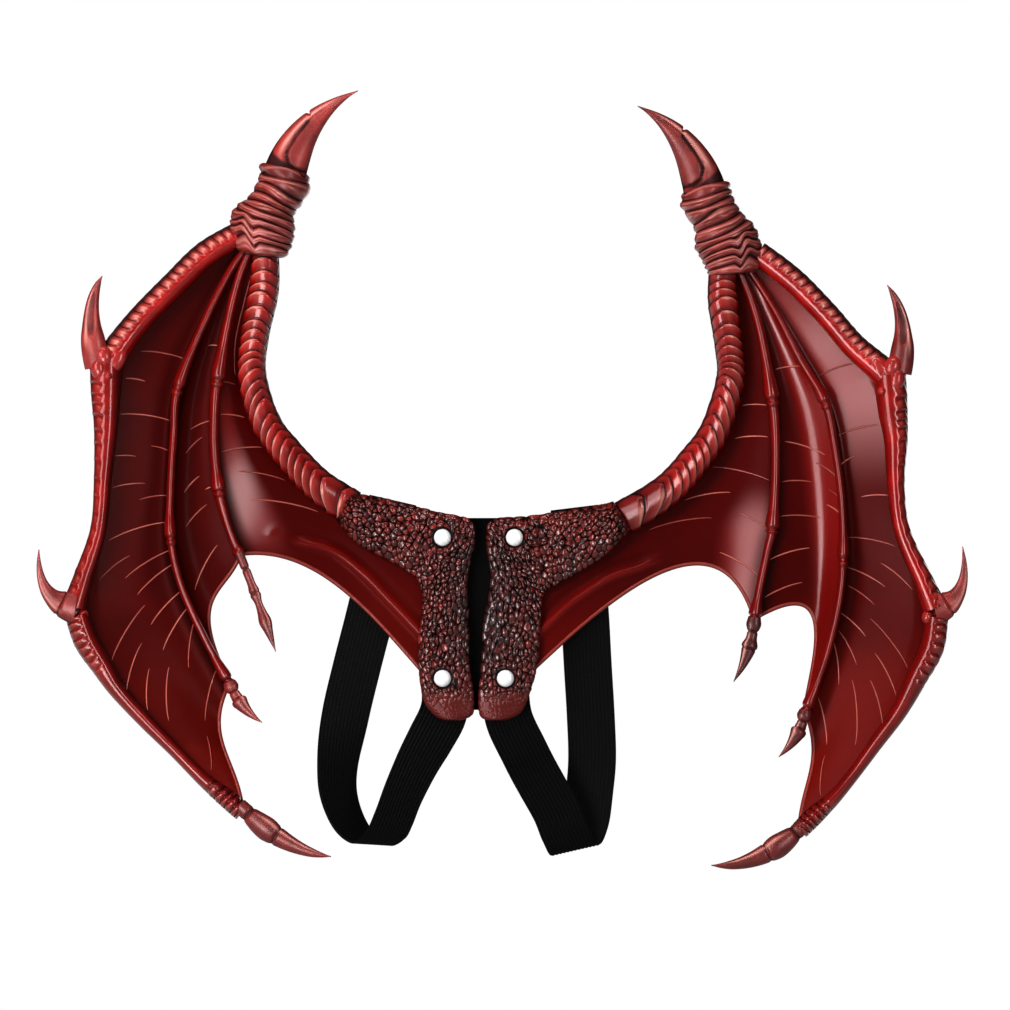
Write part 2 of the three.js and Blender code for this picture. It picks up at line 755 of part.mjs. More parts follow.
function addWing(side) {
  const add = (name, geometry, material) => addPiece(`${side}_${name}`, geometry, material);
  const upperFinger = (grow) => fingerBone(upperFingerRows, side, upperFingerRings, grow);
  const middleFinger = (grow) => fingerBone(middleFingerRows, side, middleFingerRings, grow);

  // The room that each piece takes, with the clearance round it.
  const sheet = membrane(side, gap);
  const wrapRoom = wristWrap(side, gap);
  const plateRoom = scalePlate(side, gap);
  const armRoom = armBone(side, gap);
  const upperRoom = upperFinger(gap);
  const middleRoom = middleFinger(gap);
  const lowerRoom = lowerFingerBone(side, gap);
  const innerRibRoom = rib(innerRibRows, side, gap);
  const outerRibRoom = rib(outerRibRows, side, gap);

  const seatFront = rootFront + gap + plateEdge + plateCrown;
  const bores = [];
  const seats = [];
  for (const row of rivetRows) {
    const x = row[`${side}X`];
    const z = row[`${side}Z`];
    bores.push(drill(rivetHole, x, z, -drillReach, seatFront + drillReach));
    seats.push(drill(rivetSeat, x, z, seatFront, seatFront + drillReach));
    add(row.name, rivet(seatFront + gap).translate(x, 0, z), finishes.rivet);
  }
  panelHoles.push(...bores);

  add("wing_membrane", seat(membrane(side), bores), finishes.membrane);
  add("wrist_wrap", wristWrap(side), finishes.claw);
  add("arm_bone", seat(armBone(side, 0), [wrapRoom, plateRoom]), finishes.bone);
  add("upper_finger_bone", seat(upperFinger(0), [wrapRoom, middleRoom]), finishes.bone);
  add("middle_finger_bone", middleFinger(0), finishes.bone);
  add("lower_finger_bone", seat(lowerFingerBone(side, 0), [middleRoom]), finishes.bone);
  add("inner_rib", seat(rib(innerRibRows, side, 0), [wrapRoom, armRoom]), finishes.bone);
  const outerRibCutters = [wrapRoom, innerRibRoom, upperRoom];
  add("outer_rib", seat(rib(outerRibRows, side, 0), outerRibCutters), finishes.bone);
  add("scale_plate", seat(scalePlate(side), [...bores, ...seats]), finishes.scales);
  add("arm_strap", seat(armStrap(side), bores), finishes.elastic);

  const carriers = {
    thumb_claw: [wrapRoom],
    upper_spike: [middleRoom, upperRoom],
    lower_spike: [middleRoom, lowerRoom],
    tip_claw: [lowerRoom, sheet],
    inner_rib_claw: [innerRibRoom, sheet],
    outer_rib_claw: [outerRibRoom, sheet],
  };
  for (const [name, shape] of Object.entries(claws)) {
    add(name, seat(claw(shape, side), carriers[name]), finishes.claw);
  }
}

sides.forEach(addWing);
addPiece("back_panel", seat(backPanel(), panelHoles), finishes.panel);

export default wings;
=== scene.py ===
import bpy
import math
import numpy as np
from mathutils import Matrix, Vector


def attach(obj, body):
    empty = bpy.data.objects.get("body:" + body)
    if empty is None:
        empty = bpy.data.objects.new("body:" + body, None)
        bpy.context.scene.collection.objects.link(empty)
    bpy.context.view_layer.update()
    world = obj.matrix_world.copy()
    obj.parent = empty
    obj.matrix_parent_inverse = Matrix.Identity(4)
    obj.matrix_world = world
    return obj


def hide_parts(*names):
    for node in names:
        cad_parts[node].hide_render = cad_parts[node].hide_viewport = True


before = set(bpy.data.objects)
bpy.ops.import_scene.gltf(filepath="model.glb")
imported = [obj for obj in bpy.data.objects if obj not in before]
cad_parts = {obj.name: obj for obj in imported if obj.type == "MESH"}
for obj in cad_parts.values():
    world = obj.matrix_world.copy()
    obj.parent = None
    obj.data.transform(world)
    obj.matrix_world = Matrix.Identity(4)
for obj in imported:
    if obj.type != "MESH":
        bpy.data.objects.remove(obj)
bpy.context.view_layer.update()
bpy.ops.object.select_all(action="DESELECT")
mm = 0.001
seamGap = 1e-6
membraneWall = 3
rootFront = 7.1  # how far the wings' roots stand before the panel
sweep = {"left": 1.25, "right": 1}  # the left wing is swept further forward
sideIndex = {"left": 0, "right": 1}  # a side's place in pairs and tables
outward = {"left": -1, "right": 1}
turn = 2 * math.pi
pathStep = 0.004  # share of a path over which its direction is taken
lengthSteps = 200

stage = {"aim": (16.7, -20, 68.7), "away": 12000, "seen": 673.3, "sensor": 36, "clip": 100,
         "gamma": 0.82, "dim": 0.05, "floor": -300, "floorSize": 60000, "floorGrey": 0.6}
aimX, aimY, aimZ = stage["aim"]
bpy.ops.object.camera_add(location=(aimX * mm, (aimY - stage["away"]) * mm, aimZ * mm),
                          rotation=(math.pi / 2, 0, 0))
camera = bpy.context.object
camera.data.sensor_width = stage["sensor"]
camera.data.lens = stage["sensor"] * stage["away"] / stage["seen"]
camera.data.clip_end = stage["clip"]
bpy.context.scene.camera = camera
bpy.context.scene.view_settings.view_transform = "Standard"
bpy.context.scene.view_settings.gamma = stage["gamma"]  # the photo's deep contrast

softboxes = {  # place, width and height in metres, watts, and what it lights
    "keyPaint": ((-1.9, -2.2, 1.3), 1.0, 1.0, 78, "paint"),
    "fillFront": ((0.7, -3.0, 0.9), 1.5, 1.5, 16, "paint"),
    "fillBack": ((-0.9, 2.8, 1.2), 1.6, 1.6, 115, "paint"),
    "sheenBack": ((0.6, 2.2, 0.1), 1.0, 1.0, 8, "gloss"),
    "keyLeft": ((-1.4, -2.1, 0.2), 1.1, 1.5, 34, "gloss"),
    "stripRight": ((1.05, -1.6, 0.15), 0.35, 1.2, 15, "gloss"),
    "kickLow": ((-0.32, -0.66, -0.17), 0.32, 0.26, 3.3, "gloss"),
    "stripTop": ((0.0, -0.9, 1.7), 1.4, 0.35, 9, "both"),
    "glint": ((-0.9, -2.4, 1.7), 0.3, 0.3, 9, "both")}
for name, (place, width, height, watts, lit) in softboxes.items():
    bpy.ops.object.light_add(type="AREA", location=place)
    light = bpy.context.object
    light.name = name
    light.data.shape = "RECTANGLE"
    light.data.size = width
    light.data.size_y = height
    light.data.energy = watts
    light.visible_glossy = lit != "paint"
    light.visible_diffuse = lit != "gloss"
    light.visible_camera = False
    aim = Vector([value * mm for value in stage["aim"]]) - Vector(place)
    light.rotation_euler = aim.to_track_quat("-Z", "Y").to_euler()
print("camera and light set")


class Wire:
    def __init__(self, tree, socket=None):
        self.tree = tree
        self.socket = socket

    def make(self, kind, settings, inputs, output=0):
        node = self.tree.nodes.new(kind)
        for key, value in settings.items():
            setattr(node, key, value)
        for key, value in inputs.items():
            if isinstance(value, Wire):
                self.tree.links.new(value.socket, node.inputs[key])
            else:
                node.inputs[key].default_value = value
        return Wire(self.tree, node.outputs[output])

    def maths(self, operation, first, second):
        return self.make("ShaderNodeMath", {"operation": operation}, {0: first, 1: second})

    def __add__(self, other):
        return self.maths("ADD", self, other)

    def __radd__(self, other):
        return self.maths("ADD", other, self)

    def __sub__(self, other):
        return self.maths("SUBTRACT", self, other)

    def __rsub__(self, other):
        return self.maths("SUBTRACT", other, self)

    def __mul__(self, other):
        return self.maths("MULTIPLY", self, other)

    def __rmul__(self, other):
        return self.maths("MULTIPLY", other, self)

    def ease(self, low, high):  # 0 below low, 1 above high
        settings = {"interpolation_type": "SMOOTHSTEP"}
        return self.make("ShaderNodeMapRange", settings, {0: self, 1: low, 2: high})

    def mark(self, name):
        return self.make("ShaderNodeAttribute", {"attribute_name": name}, {}, "Fac")

    def spots(self, scale, detail=3.0):
        place = self.make("ShaderNodeTexCoord", {}, {}, "Object")
        inputs = {"Vector": place, "Scale": scale, "Detail": detail}
        return self.make("ShaderNodeTexNoise", {}, inputs, "Fac")

    def tint(self, share, under, over):  # share of the over colour on the under one
        return self.make("ShaderNodeMix", {"data_type": "RGBA"}, {0: share, 6: under, 7: over}, 2)


def colour(red, green, blue):  # screen values 0 to 255 as a linear colour
    def linear(value):
        value = value / 255
        return value / 12.92 if value <= 0.04045 else ((value + 0.055) / 1.055) ** 2.4
    return (linear(red), linear(green), linear(blue), 1)


def newMaterial(name, shade):  # shade(wire) gives the shader's sockets
    material = bpy.data.materials.new(name)
    material.use_nodes = True
    tree = material.node_tree
    shader = tree.nodes["Principled BSDF"]
    for key, value in shade(Wire(tree)).items():
        if isinstance(value, Wire):
            tree.links.new(value.socket, shader.inputs[key])
        else:
            shader.inputs[key].default_value = value
    return material


def roughened(wire, height, strength, distance):
    inputs = {"Height": height, "Strength": strength, "Distance": distance}
    return wire.make("ShaderNodeBump", {}, inputs)


def boneShade(wire):
    mottle = wire.spots(60)
    skin = wire.tint(mottle.ease(0.35, 0.7), colour(156, 11, 7), colour(192, 22, 13))
    # painted sheen: a paler rose on the bone flank that catches the light; on the knuckle lobes the
    # same mark gives their own rose colour
    skin = wire.tint(wire.mark("flank") * 0.8, skin, colour(176, 70, 66))
    # painted shade: dusk darkens the flanks turned from the light, and the arms' ends by the plates
    skin = wire.tint(wire.mark("dusk") * 0.9, skin, colour(54, 24, 27))
    # deep paints a darker red: the ribs' own colour, and on the other bones painted shade towards each
    # ring's groove, with an even share set per bone
    skin = wire.tint(wire.mark("deep") * 0.92, skin, colour(104, 10, 6))
    # painted highlight: rim paints pale pink where the rings' rims and the fingers' bands catch the
    # light
    skin = wire.tint(wire.mark("rim") * 0.78, skin, colour(252, 178, 160))
    # painted shade: near black where the relief mark is low, in the ring grooves, at the edges and on
    # the flanks turned from the light
    paintedShade = 1 - (wire.mark("relief") + mottle * 0.16 - 0.08).ease(0.1, 0.62)
    skin = wire.tint(paintedShade * 0.97, skin, colour(14, 5, 6))
    return {"Base Color": skin, "Roughness": 0.3 + paintedShade * 0.3, "Specular IOR Level": 0.2,
            "Coat Roughness": 0.16, "Coat Weight": (1 - paintedShade) * (1 - wire.mark("dusk") * 0.7) * 0.8,
            "Normal": roughened(wire, wire.spots(420), 0.06, 0.0006)}


def membraneShade(wire):
    cloud = wire.spots(14, 4.0)
    # darker maroon towards the top, brick red lower down
    towardsTop = (wire.mark("height") + cloud * 0.5 - 0.25).ease(0.0, 0.8)
    skin = wire.tint(towardsTop, colour(118, 17, 8), colour(84, 5, 3))
    skin = wire.tint(cloud.ease(0.45, 0.75) * 0.5, skin, colour(70, 9, 6))
    # painted sheen: a brighter red where the panel is glossy, under its reflections
    skin = wire.tint(wire.mark("gloss") * 0.6, skin, colour(158, 15, 9))
    # painted highlight: pale pink on the tops of the veins and hems and on the fold's ridge
    skin = wire.tint(wire.mark("crest").ease(0.2, 1.0) * 0.72, skin, colour(224, 132, 116))
    # painted shade: near black where the relief mark is low, beside the ribs and bones, in the fold's
    # trough, and under the veins and hems
    paintedShade = 1 - wire.mark("relief").ease(0.0, 0.8)
    skin = wire.tint(paintedShade * 0.92, skin, colour(10, 2, 2))
    return {"Base Color": skin, "Roughness": 0.5 + cloud * 0.08, "Specular IOR Level": 0.03,
            "Coat Roughness": 0.2, "Coat Weight": (1 - paintedShade) * wire.mark("gloss"),
            "Normal": roughened(wire, wire.spots(300), 0.05, 0.0005)}


def clawShade(wire):
    mottle = wire.spots(90)
    skin = wire.tint(mottle.ease(0.3, 0.7), colour(146, 44, 40), colour(182, 64, 58))
    # deep paints a darker brown-red share set per claw and wing; where the two wings differ it is
    # painted shade
    skin = wire.tint(wire.mark("deep") * 0.9, skin, colour(58, 22, 21))
    # painted highlight: rim paints pale streaks on the claws' outer shoulders and along the wrap's
    # folds
    skin = wire.tint(wire.mark("rim") * 0.75, skin, colour(246, 172, 160))
    # painted shade: near black where the relief mark is low, in the grooves, at the foot, on the back
    # and at the edges
    paintedShade = 1 - (wire.mark("relief") + mottle * 0.2 - 0.1).ease(0.05, 0.6)
    skin = wire.tint(paintedShade * 0.96, skin, colour(18, 11, 13))
    return {"Base Color": skin, "Roughness": 0.42 + paintedShade * 0.25, "Specular IOR Level": 0.2,
            "Coat Roughness": 0.33, "Coat Weight": (1 - paintedShade) * 0.7}


def scaleShade(wire):
    tone = wire.mark("tone")
    skin = wire.tint(tone, colour(76, 20, 16), colour(132, 40, 33))
    skin = wire.tint(tone.ease(0.93, 1.0) * 0.6, skin, colour(160, 46, 38))
    skin = wire.tint(wire.mark("dusk") * 0.7, skin, colour(40, 27, 28))
    # painted shade: near black in the grooves between pebbles and in a ring round each rivet
    paintedShade = 1 - wire.mark("relief").ease(0.08, 0.72)
    skin = wire.tint(paintedShade * 0.97, skin, colour(9, 3, 4))
    return {"Base Color": skin, "Roughness": 0.3 + tone * 0.1, "Specular IOR Level": 0.15,
            "Coat Roughness": 0.06, "Coat Weight": (1 - paintedShade) * (1 - wire.mark("matt") * 0.95),
            "Normal": roughened(wire, wire.spots(700) * (1 - wire.mark("matt") * 0.9), 0.25, 0.0006)}


def rivetShade(wire):
    return {"Base Color": wire.tint(wire.spots(200), colour(244, 244, 245), colour(255, 255, 255)),
            "Roughness": 0.24 + wire.spots(350) * 0.1, "Coat Weight": 0.4}


def elasticShade(wire):
    place = wire.make("ShaderNodeUVMap", {}, {})
    inputs = {"Vector": place, "Scale": 95.0}
    threads = wire.make("ShaderNodeTexWave", {"bands_direction": "Y"}, inputs, "Fac")
    # painted shade and highlight: the elastic's rib grooves black, their ridges grey
    yarn = wire.tint(wire.mark("relief").ease(0.2, 0.9), colour(0, 0, 0), colour(11, 11, 11))
    yarn = wire.tint(wire.spots(700) * 0.3, yarn, colour(7, 7, 7))
    return {"Base Color": yarn, "Roughness": 0.6 + threads * 0.2, "Specular IOR Level": 0.1,
            "Normal": roughened(wire, threads, 0.25, 0.0003)}


def feltShade(wire):
    fuzz = wire.spots(900, 5.0)
    return {"Base Color": wire.tint(fuzz, colour(4, 4, 4), colour(12, 12, 13)),
            "Roughness": 0.9 + fuzz * 0.1, "Specular IOR Level": 0.15,
            "Normal": roughened(wire, fuzz, 0.4, 0.0004)}


materials = {slot: newMaterial(name, shade) for slot, name, shade in [
    ("bone", "boneLacquer", boneShade), ("membrane", "membraneLacquer", membraneShade),
    ("claw", "clawLacquer", clawShade), ("scales", "scaleLacquer", scaleShade),
    ("rivet", "rivetEnamel", rivetShade), ("elastic", "ribbedElastic", elasticShade),
    ("panel", "blackFelt", feltShade)]}


def onlySeen(wire, output, plain, seen):  # the seen shader for the camera's own rays
    rays = wire.make("ShaderNodeLightPath", {}, {}, "Is Camera Ray")
    mixed = wire.make("ShaderNodeMixShader", {}, {0: rays, 1: plain, 2: seen})
    wire.tree.links.new(mixed.socket, wire.tree.nodes[output].inputs["Surface"])


white = (1, 1, 1, 1)
surround = bpy.data.worlds.new("paleSurround")
surround.use_nodes = True
bpy.context.scene.world = surround
wire = Wire(surround.node_tree)
dim = wire.make("ShaderNodeBackground", {}, {"Color": white, "Strength": stage["dim"]})
pale = wire.make("ShaderNodeBackground", {}, {"Color": white, "Strength": 1.0})
onlySeen(wire, "World Output", dim, pale)

bpy.ops.mesh.primitive_plane_add(size=stage["floorSize"] * mm, location=(0, 0, stage["floor"] * mm))
floor = bpy.context.object
floor.name = "floor"
floorPaint = bpy.data.materials.new("paleFloor")
floorPaint.use_nodes = True
wire = Wire(floorPaint.node_tree)
chalk = wire.make("ShaderNodeBsdfDiffuse", {}, {"Color": (stage["floorGrey"],) * 3 + (1,)})
glow = wire.make("ShaderNodeEmission", {}, {"Color": white, "Strength": 1.0})
onlySeen(wire, "Material Output", chalk, glow)
floor.data.materials.append(floorPaint)
print("materials and floor ready")


def smooth(low, high, value):
    share = np.clip((np.asarray(value, float) - low) / (high - low), 0, 1)
    return share * share * (3 - 2 * share)


def window(low, full, fall, high, value):  # 0 outside low and high, 1 between full and fall
    return smooth(low, full, value) * (1 - smooth(fall, high, value))


def bump(value, middle, width):
    return np.exp(-((value - middle) / width) ** 2)


def splineAt(rows, places):  # a smooth line through evenly spaced rows
    rows = np.asarray(rows, float)
    last = len(rows) - 1
    at = np.clip(np.asarray(places, float), 0, 1) * last
    base = np.clip(np.floor(at).astype(int), 0, last - 1)
    share = at - base
    if rows.ndim > 1:
        share = share[..., None]
    a, b, c, d = (rows[np.clip(base + step, 0, last)] for step in (-1, 0, 1, 2))
    bend = 2 * a - 5 * b + 4 * c - d + share * (3 * (b - c) + d - a)
    return b + 0.5 * share * (c - a + share * bend)


def aheadOf(rows, places):
    before, after = (np.clip(places + step, 0, 1) for step in (-pathStep, pathStep))
    return splineAt(rows, after) - splineAt(rows, before)


def unit(vectors):
    return vectors / np.linalg.norm(vectors, axis=-1, keepdims=True)


def wingRows(rows, side):  # x, front, z and the rest of a table for one wing, in millimetres
    table = np.array(rows, float)
    first = 2 * sideIndex[side]
    front = rootFront + (table[:, 4] - rootFront) * sweep[side]
    return np.column_stack([table[:, first], front, table[:, first + 1], table[:, 5:]])


def middleOf(here):  # front counts towards the camera, along -Y
    return np.column_stack([here[:, 0], -here[:, 1], here[:, 2]])


def pathOf(rows, places, side):  # middle, way across and other columns
    here = splineAt(rows, places)
    level = np.zeros(len(here))
    ahead = aheadOf(rows, places)
    ahead = unit(np.column_stack([ahead[:, 0], level, ahead[:, 2]]))
    across = np.column_stack([ahead[:, 2], level, -ahead[:, 0]]) * -outward[side]
    return middleOf(here), across, here[:, 3:]


def lengthOf(rows):
    points = splineAt(rows[:, :3], np.linspace(0, 1, lengthSteps))
    return np.linalg.norm(np.diff(points, axis=0), axis=1).sum()


def roundOf(s):  # outward and forward shares round a tube
    return np.cos(turn * s), np.sin(turn * s)


def domed(lift, power, height):  # rounded in front, nearly flat behind
    return np.where(lift > 0, np.abs(lift) ** power * height, -(np.abs(lift) ** 0.5) * membraneWall)


def placed(middle, across, reach, rise):
    points = middle + across * reach[:, None]
    points[:, 1] -= rise
    return points


def pathDistance(points, path):  # how far points lie from a line of corners, and on which side
    best, side = np.full(len(points), np.inf), np.zeros(len(points))
    for start, end in zip(path[:-1], path[1:]):
        leg = end - start
        share = np.clip(((points - start) @ leg) / (leg @ leg), 0, 1)
        off = points - start - share[:, None] * leg
        far = np.linalg.norm(off, axis=1)
        closer = far < best
        side = np.where(closer, np.sign(leg[0] * off[:, 1] - leg[1] * off[:, 0]), side)
        best = np.where(closer, far, best)
    return best, side


def paint(piece, marks):
    for mark, values in marks.items():
        layer = piece.data.attributes.new(mark, "FLOAT", "POINT")
        filled = np.broadcast_to(np.asarray(values, np.float32), len(piece.data.vertices))
        layer.data.foreach_set("value", np.ascontiguousarray(filled))


def choose(piece, extras=()):  # the piece active, and selected with the extras
    bpy.ops.object.select_all(action="DESELECT")
    for extra in extras:
        extra.select_set(True)
    piece.select_set(True)
    bpy.context.view_layer.objects.active = piece


def editAll(*steps):  # each step works on the active piece's whole mesh
    bpy.ops.object.mode_set(mode="EDIT")
    for step, settings in steps:
        bpy.ops.mesh.select_all(action="SELECT")
        step(**settings)
    bpy.ops.object.mode_set(mode="OBJECT")


def formGrid(across, along, shape):  # a grid moved point by point into its form
    bpy.ops.mesh.primitive_grid_add(x_subdivisions=across, y_subdivisions=along, size=1)
    piece = bpy.context.object
    flat = np.empty(len(piece.data.vertices) * 3, np.float32)
    piece.data.vertices.foreach_get("co", flat)
    flat = flat.reshape(-1, 3).astype(float) + 0.5
    points, marks = shape(flat[:, 0], flat[:, 1])
    piece.data.vertices.foreach_set("co", (points * mm).astype(np.float32).ravel())
    piece.data.update()
    paint(piece, marks)
    return piece


def formTube(around, along, shape):  # the same, joined along its seam and closed at its ends
    piece = formGrid(around, along, shape)
    editAll((bpy.ops.mesh.remove_doubles, {"threshold": seamGap}),
            (bpy.ops.mesh.fill_holes, {"sides": 0}),
            (bpy.ops.mesh.normals_make_consistent, {"inside": False}))
    bpy.ops.object.shade_smooth()
    return piece


def faceFront(piece):
    if np.mean([face.normal.y for face in piece.data.polygons]) > 0:
        editAll((bpy.ops.mesh.flip_normals, {}))


def thicken(piece, wall, crease):  # backwards from the grid, smooth up to the crease's angle
    bpy.ops.object.modifier_add(type="SOLIDIFY")
    piece.modifiers[0].thickness = wall * mm
    piece.modifiers[0].offset = -1
    bpy.ops.object.modifier_apply(modifier=piece.modifiers[0].name)
    bpy.ops.object.shade_smooth_by_angle(angle=math.radians(crease))


def joinTo(piece, extras):
    choose(piece, extras)
    bpy.ops.object.join()


def pieceName(node):
    first, *rest = node.split("_")
    return first + "".join(word.title() for word in rest)


def dress(piece, node, slot):
    piece.name = pieceName(node)
    piece.data.name = piece.name
    piece.data.materials.clear()
    piece.data.materials.append(materials[slot])
    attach(piece, "root")
    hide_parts(node)


ringRows = 10


def ringEdges(count, uneven, seed):
    steps = 1 + uneven * np.random.default_rng(seed).uniform(-1, 1, count)
    return np.concatenate([[0], np.cumsum(steps) / steps.sum()])


def ringPlaces(along, count, edges):  # each row's ring, its place in that ring and along the whole
    row = np.rint(along * count * ringRows).astype(int)
    ring = np.minimum(row // ringRows, count - 1)
    inside = (row - ring * ringRows) / ringRows
    return ring, inside, edges[ring] + inside * (edges[ring + 1] - edges[ring])


armRows = [  # leftX leftZ rightX rightZ front width height
    [-143, 239, 162, 228, 22, 19, 13], [-144, 212, 162, 205, 21.5, 21, 14],
    [-150, 182, 166, 175, 19.5, 20, 14], [-152, 155, 167, 152, 16.5, 20, 14],
    [-143, 124, 157, 119, 13.5, 21, 14], [-128, 103, 142, 97, 11, 22, 14],
    [-108, 82, 123, 77, 8.5, 23, 13], [-86, 67, 96, 60, 7.1, 25, 9]]
upperFingerRows = [
    [-160, 250, 185, 237, 22, 16, 11], [-183, 236, 208, 219, 24, 17, 12],
    [-203, 217, 230, 197, 26, 16.5, 12], [-227, 192, 249, 175, 28, 17, 12],
    [-245, 168, 268, 158, 30, 19, 13]]
middleFingerRows = [
    [-249, 164, 273, 156, 30, 22, 14], [-249, 142, 275, 132, 31.5, 20, 13],
    [-249, 119, 277, 112, 33, 16, 11], [-251, 85, 277, 84, 34.5, 12, 10],
    [-254, 52, 281, 52, 35.5, 11, 9], [-264, 20, 295, 19, 36, 13.5, 11],
    [-270, 1, 303, 0, 36.5, 17, 13]]
lowerFingerRows = [
    [-268, -5, 304, -6, 36.5, 16, 12], [-262, -22, 301, -26, 36.5, 16.5, 12],
    [-252, -38, 291, -46, 36.2, 14.5, 11], [-241, -55, 279, -69, 35.6, 11, 9.5],
    [-222, -76, 263, -91, 34.6, 9.5, 8], [-203, -95, 250, -109, 33.4, 8.5, 7.5],
    [-184, -114, 236, -126, 32.2, 9.5, 8.5], [-168, -127, 223, -138, 31, 13, 10],
    [-158, -136, 213, -148, 30, 12.5, 10]]
outerRibRows = [
    [-157, 239, 180, 225, 22, 5.5, 5], [-168, 222, 197, 198, 23.5, 5.5, 5],
    [-183, 192, 213, 167, 25, 6, 5], [-201, 147, 230, 137, 27, 6, 5],
    [-204, 115, 236, 109, 28, 5.5, 5], [-206, 80, 241, 72, 28.5, 5.5, 5],
    [-206, 47, 242, 33, 28.5, 5.5, 5], [-199, 15, 239, 2, 28, 5.5, 4.5],
    [-183, -21, 230, -35, 26.5, 5.5, 4.5], [-167, -50, 217, -69, 25, 6, 4.5]]
innerRibRows = [
    [-153, 239, 173, 225, 22, 6, 5], [-160, 222, 181, 205, 22, 6.5, 5],
    [-167, 195, 188, 179, 22, 7, 5.5], [-175, 152, 195, 139, 22, 7.5, 5.5],
    [-177, 129, 197, 115, 21.5, 7, 5.5], [-177, 105, 197, 85, 21, 7, 5.5],
    [-174, 78, 195, 53, 20, 7, 5], [-169, 58, 192, 39, 19, 6, 4.5], [-164, 44, 187, 15, 18, 6, 4.5],
    [-160, 36, 183, -7, 17, 6.5, 4.5]]
bowSpan = [0.35, 0.6]  # where along a bone its rings' bow changes


def boneForm(rows, side, look, seed):
    wing = wingRows(rows, side)
    length = lengthOf(wing)
    count = look["rings"]
    chance = np.random.default_rng(seed)
    edges = ringEdges(count, look["uneven"], seed)
    calm = window(0, 0.06, 0.93, 1, edges)  # straight rings at both ends
    bows = np.interp(edges, bowSpan, look["bow"]) * chance.uniform(0.92, 1.08, count + 1) * calm
    leans = (look["lean"] + 0.8 * chance.uniform(-1, 1, count + 1)) * calm
    plump = chance.uniform(0.85, 1.1, count)
    worn, aged = look["worn"][sideIndex[side]], look["aged"][sideIndex[side]]

    def shape(s, t):
        outer, lift = roundOf(s)
        ring, inside, whole = ringPlaces(t, count, edges)
        peak = np.interp(whole, bowSpan, look["peak"])
        arch = np.interp(whole, edges, bows) * (1 - ((outer - peak) / (1 + np.abs(peak))) ** 2)
        arch = (arch + np.interp(whole, edges, leans) * outer) * np.clip(lift + 0.2, 0, 1)
        middle, across, size = pathOf(wing, np.clip(whole - arch / length, 0, 1), side)
        crest = look["profile"](inside) * plump[ring]
        grooved = look["grooved"](outer, lift, whole)
        sunk = look["depth"] * grooved * (1 - crest)
        reach = np.sign(outer) * np.abs(outer) ** 0.9 * (size[:, 0] / 2 - sunk * 0.8)
        points = placed(middle, across, reach, domed(lift, 0.85, size[:, 1] - sunk))
        # painted shade: the grooves between the rings are drawn dark, and the look's shade darkens the
        # flanks
        groovedShare = np.minimum(grooved, 1)
        lined = window(0, 0.05, 0.84, 1, inside)
        relief = (1 - look["ink"] * groovedShare * (1 - lined)) * look["shade"](outer)
        # painted highlight: a pale line behind each ring's rim and a broader bloom, on the lit side
        behind = inside - look["glow"]
        glow = bump(behind, 0, 0.08) + look["bloom"] * bump(behind, 0.2, 0.2)
        rim = glow * look["lit"](outer) * np.minimum(grooved * 1.5, 1) * smooth(0, 0.2, lift)
        # painted shade on the flanks turned from the light, and on the arms' ends by the plates
        dusk = np.maximum(look["dusk"](outer, side), worn * smooth(0.86, 0.95, whole))
        # painted shade: a darker red towards each ring's groove
        deep = np.maximum(look["dim"] * smooth(0.4, 1.0, inside) * groovedShare, aged)
        return points, {"relief": relief, "flank": look["flank"](outer), "dusk": dusk, "rim": rim,
                        "deep": deep}
    return shape, count * ringRows


def pillow(inside):
    return np.sin(math.pi * inside) ** 0.5


def upperGroove(outer, lift, whole):
    return smooth(-0.2, 0.1, lift) * smooth(-0.2, 0.15, outer) * (1 - 0.5 * smooth(0.6, 0.95, outer))


def middleGroove(outer, lift, whole):
    faint = 1 - 0.6 * smooth(0.25, 0.45, whole) * (1 - smooth(0.75, 0.9, whole))
    return smooth(-0.2, 0.1, lift) * smooth(0.05, 0.6, outer) * faint


def lowerGroove(outer, lift, whole):
    start = upperGroove(outer, lift, whole) * (1 - smooth(0.22, 0.3, whole)) * 0.8
    return start + 1.3 * smooth(-0.2, 0.1, lift) * smooth(0.76, 0.82, whole)


def fingerDusk(outer, side):  # the left wing's fingers are in shade on their inner side
    inner = 0.9 if side == "left" else 0.3
    return 0.4 * smooth(0.6, 0.95, outer) + inner * smooth(-0.35, -0.85, outer)


armLook = {
    "rings": 29, "uneven": 0.16, "bow": (4.5, 13), "peak": (0.1, -0.8), "lean": 0, "depth": 3.0,
    # the arms' ends by the plates are painted in shade, and the right arm a darker red, also painted
    # shade
    "glow": 0.13, "bloom": 0.12, "ink": 1, "dim": 0.85, "worn": (0.15, 0.6), "aged": (0, 0.18),
    "profile": lambda inside: smooth(0, 0.14, inside) * (1 - 0.65 * inside),
    "grooved": lambda outer, lift, whole: smooth(-0.35, 0.1, lift),
    # painted sheen: a paler rose on the arm's neck side
    "flank": lambda outer: 0.7 * smooth(-0.2, -0.8, outer),
    "dusk": lambda outer, side: 0 * outer,
    "shade": lambda outer: ((1 - 0.75 * smooth(-0.65, -0.97, outer))
                            * (1 - 0.7 * smooth(0.88, 1.0, outer))),
    "lit": lambda outer: window(-0.25, 0.2, 0.75, 0.97, outer)}
fingerLook = {  # what the finger's three lengths have in common
    "worn": (0, 0), "dim": 0.4, "bloom": 0.4, "profile": pillow, "dusk": fingerDusk,
    # painted sheen: a paler rose on the finger's outer half
    "flank": lambda outer: 0.35 * smooth(0.1, 0.6, outer),
    "shade": lambda outer: ((1 - 0.6 * smooth(0.75, 0.98, outer))
                            * (1 - 0.7 * smooth(-0.8, -1.0, outer))),
    "lit": lambda outer: 0.35 * bump(outer, 0.4, 0.25)}
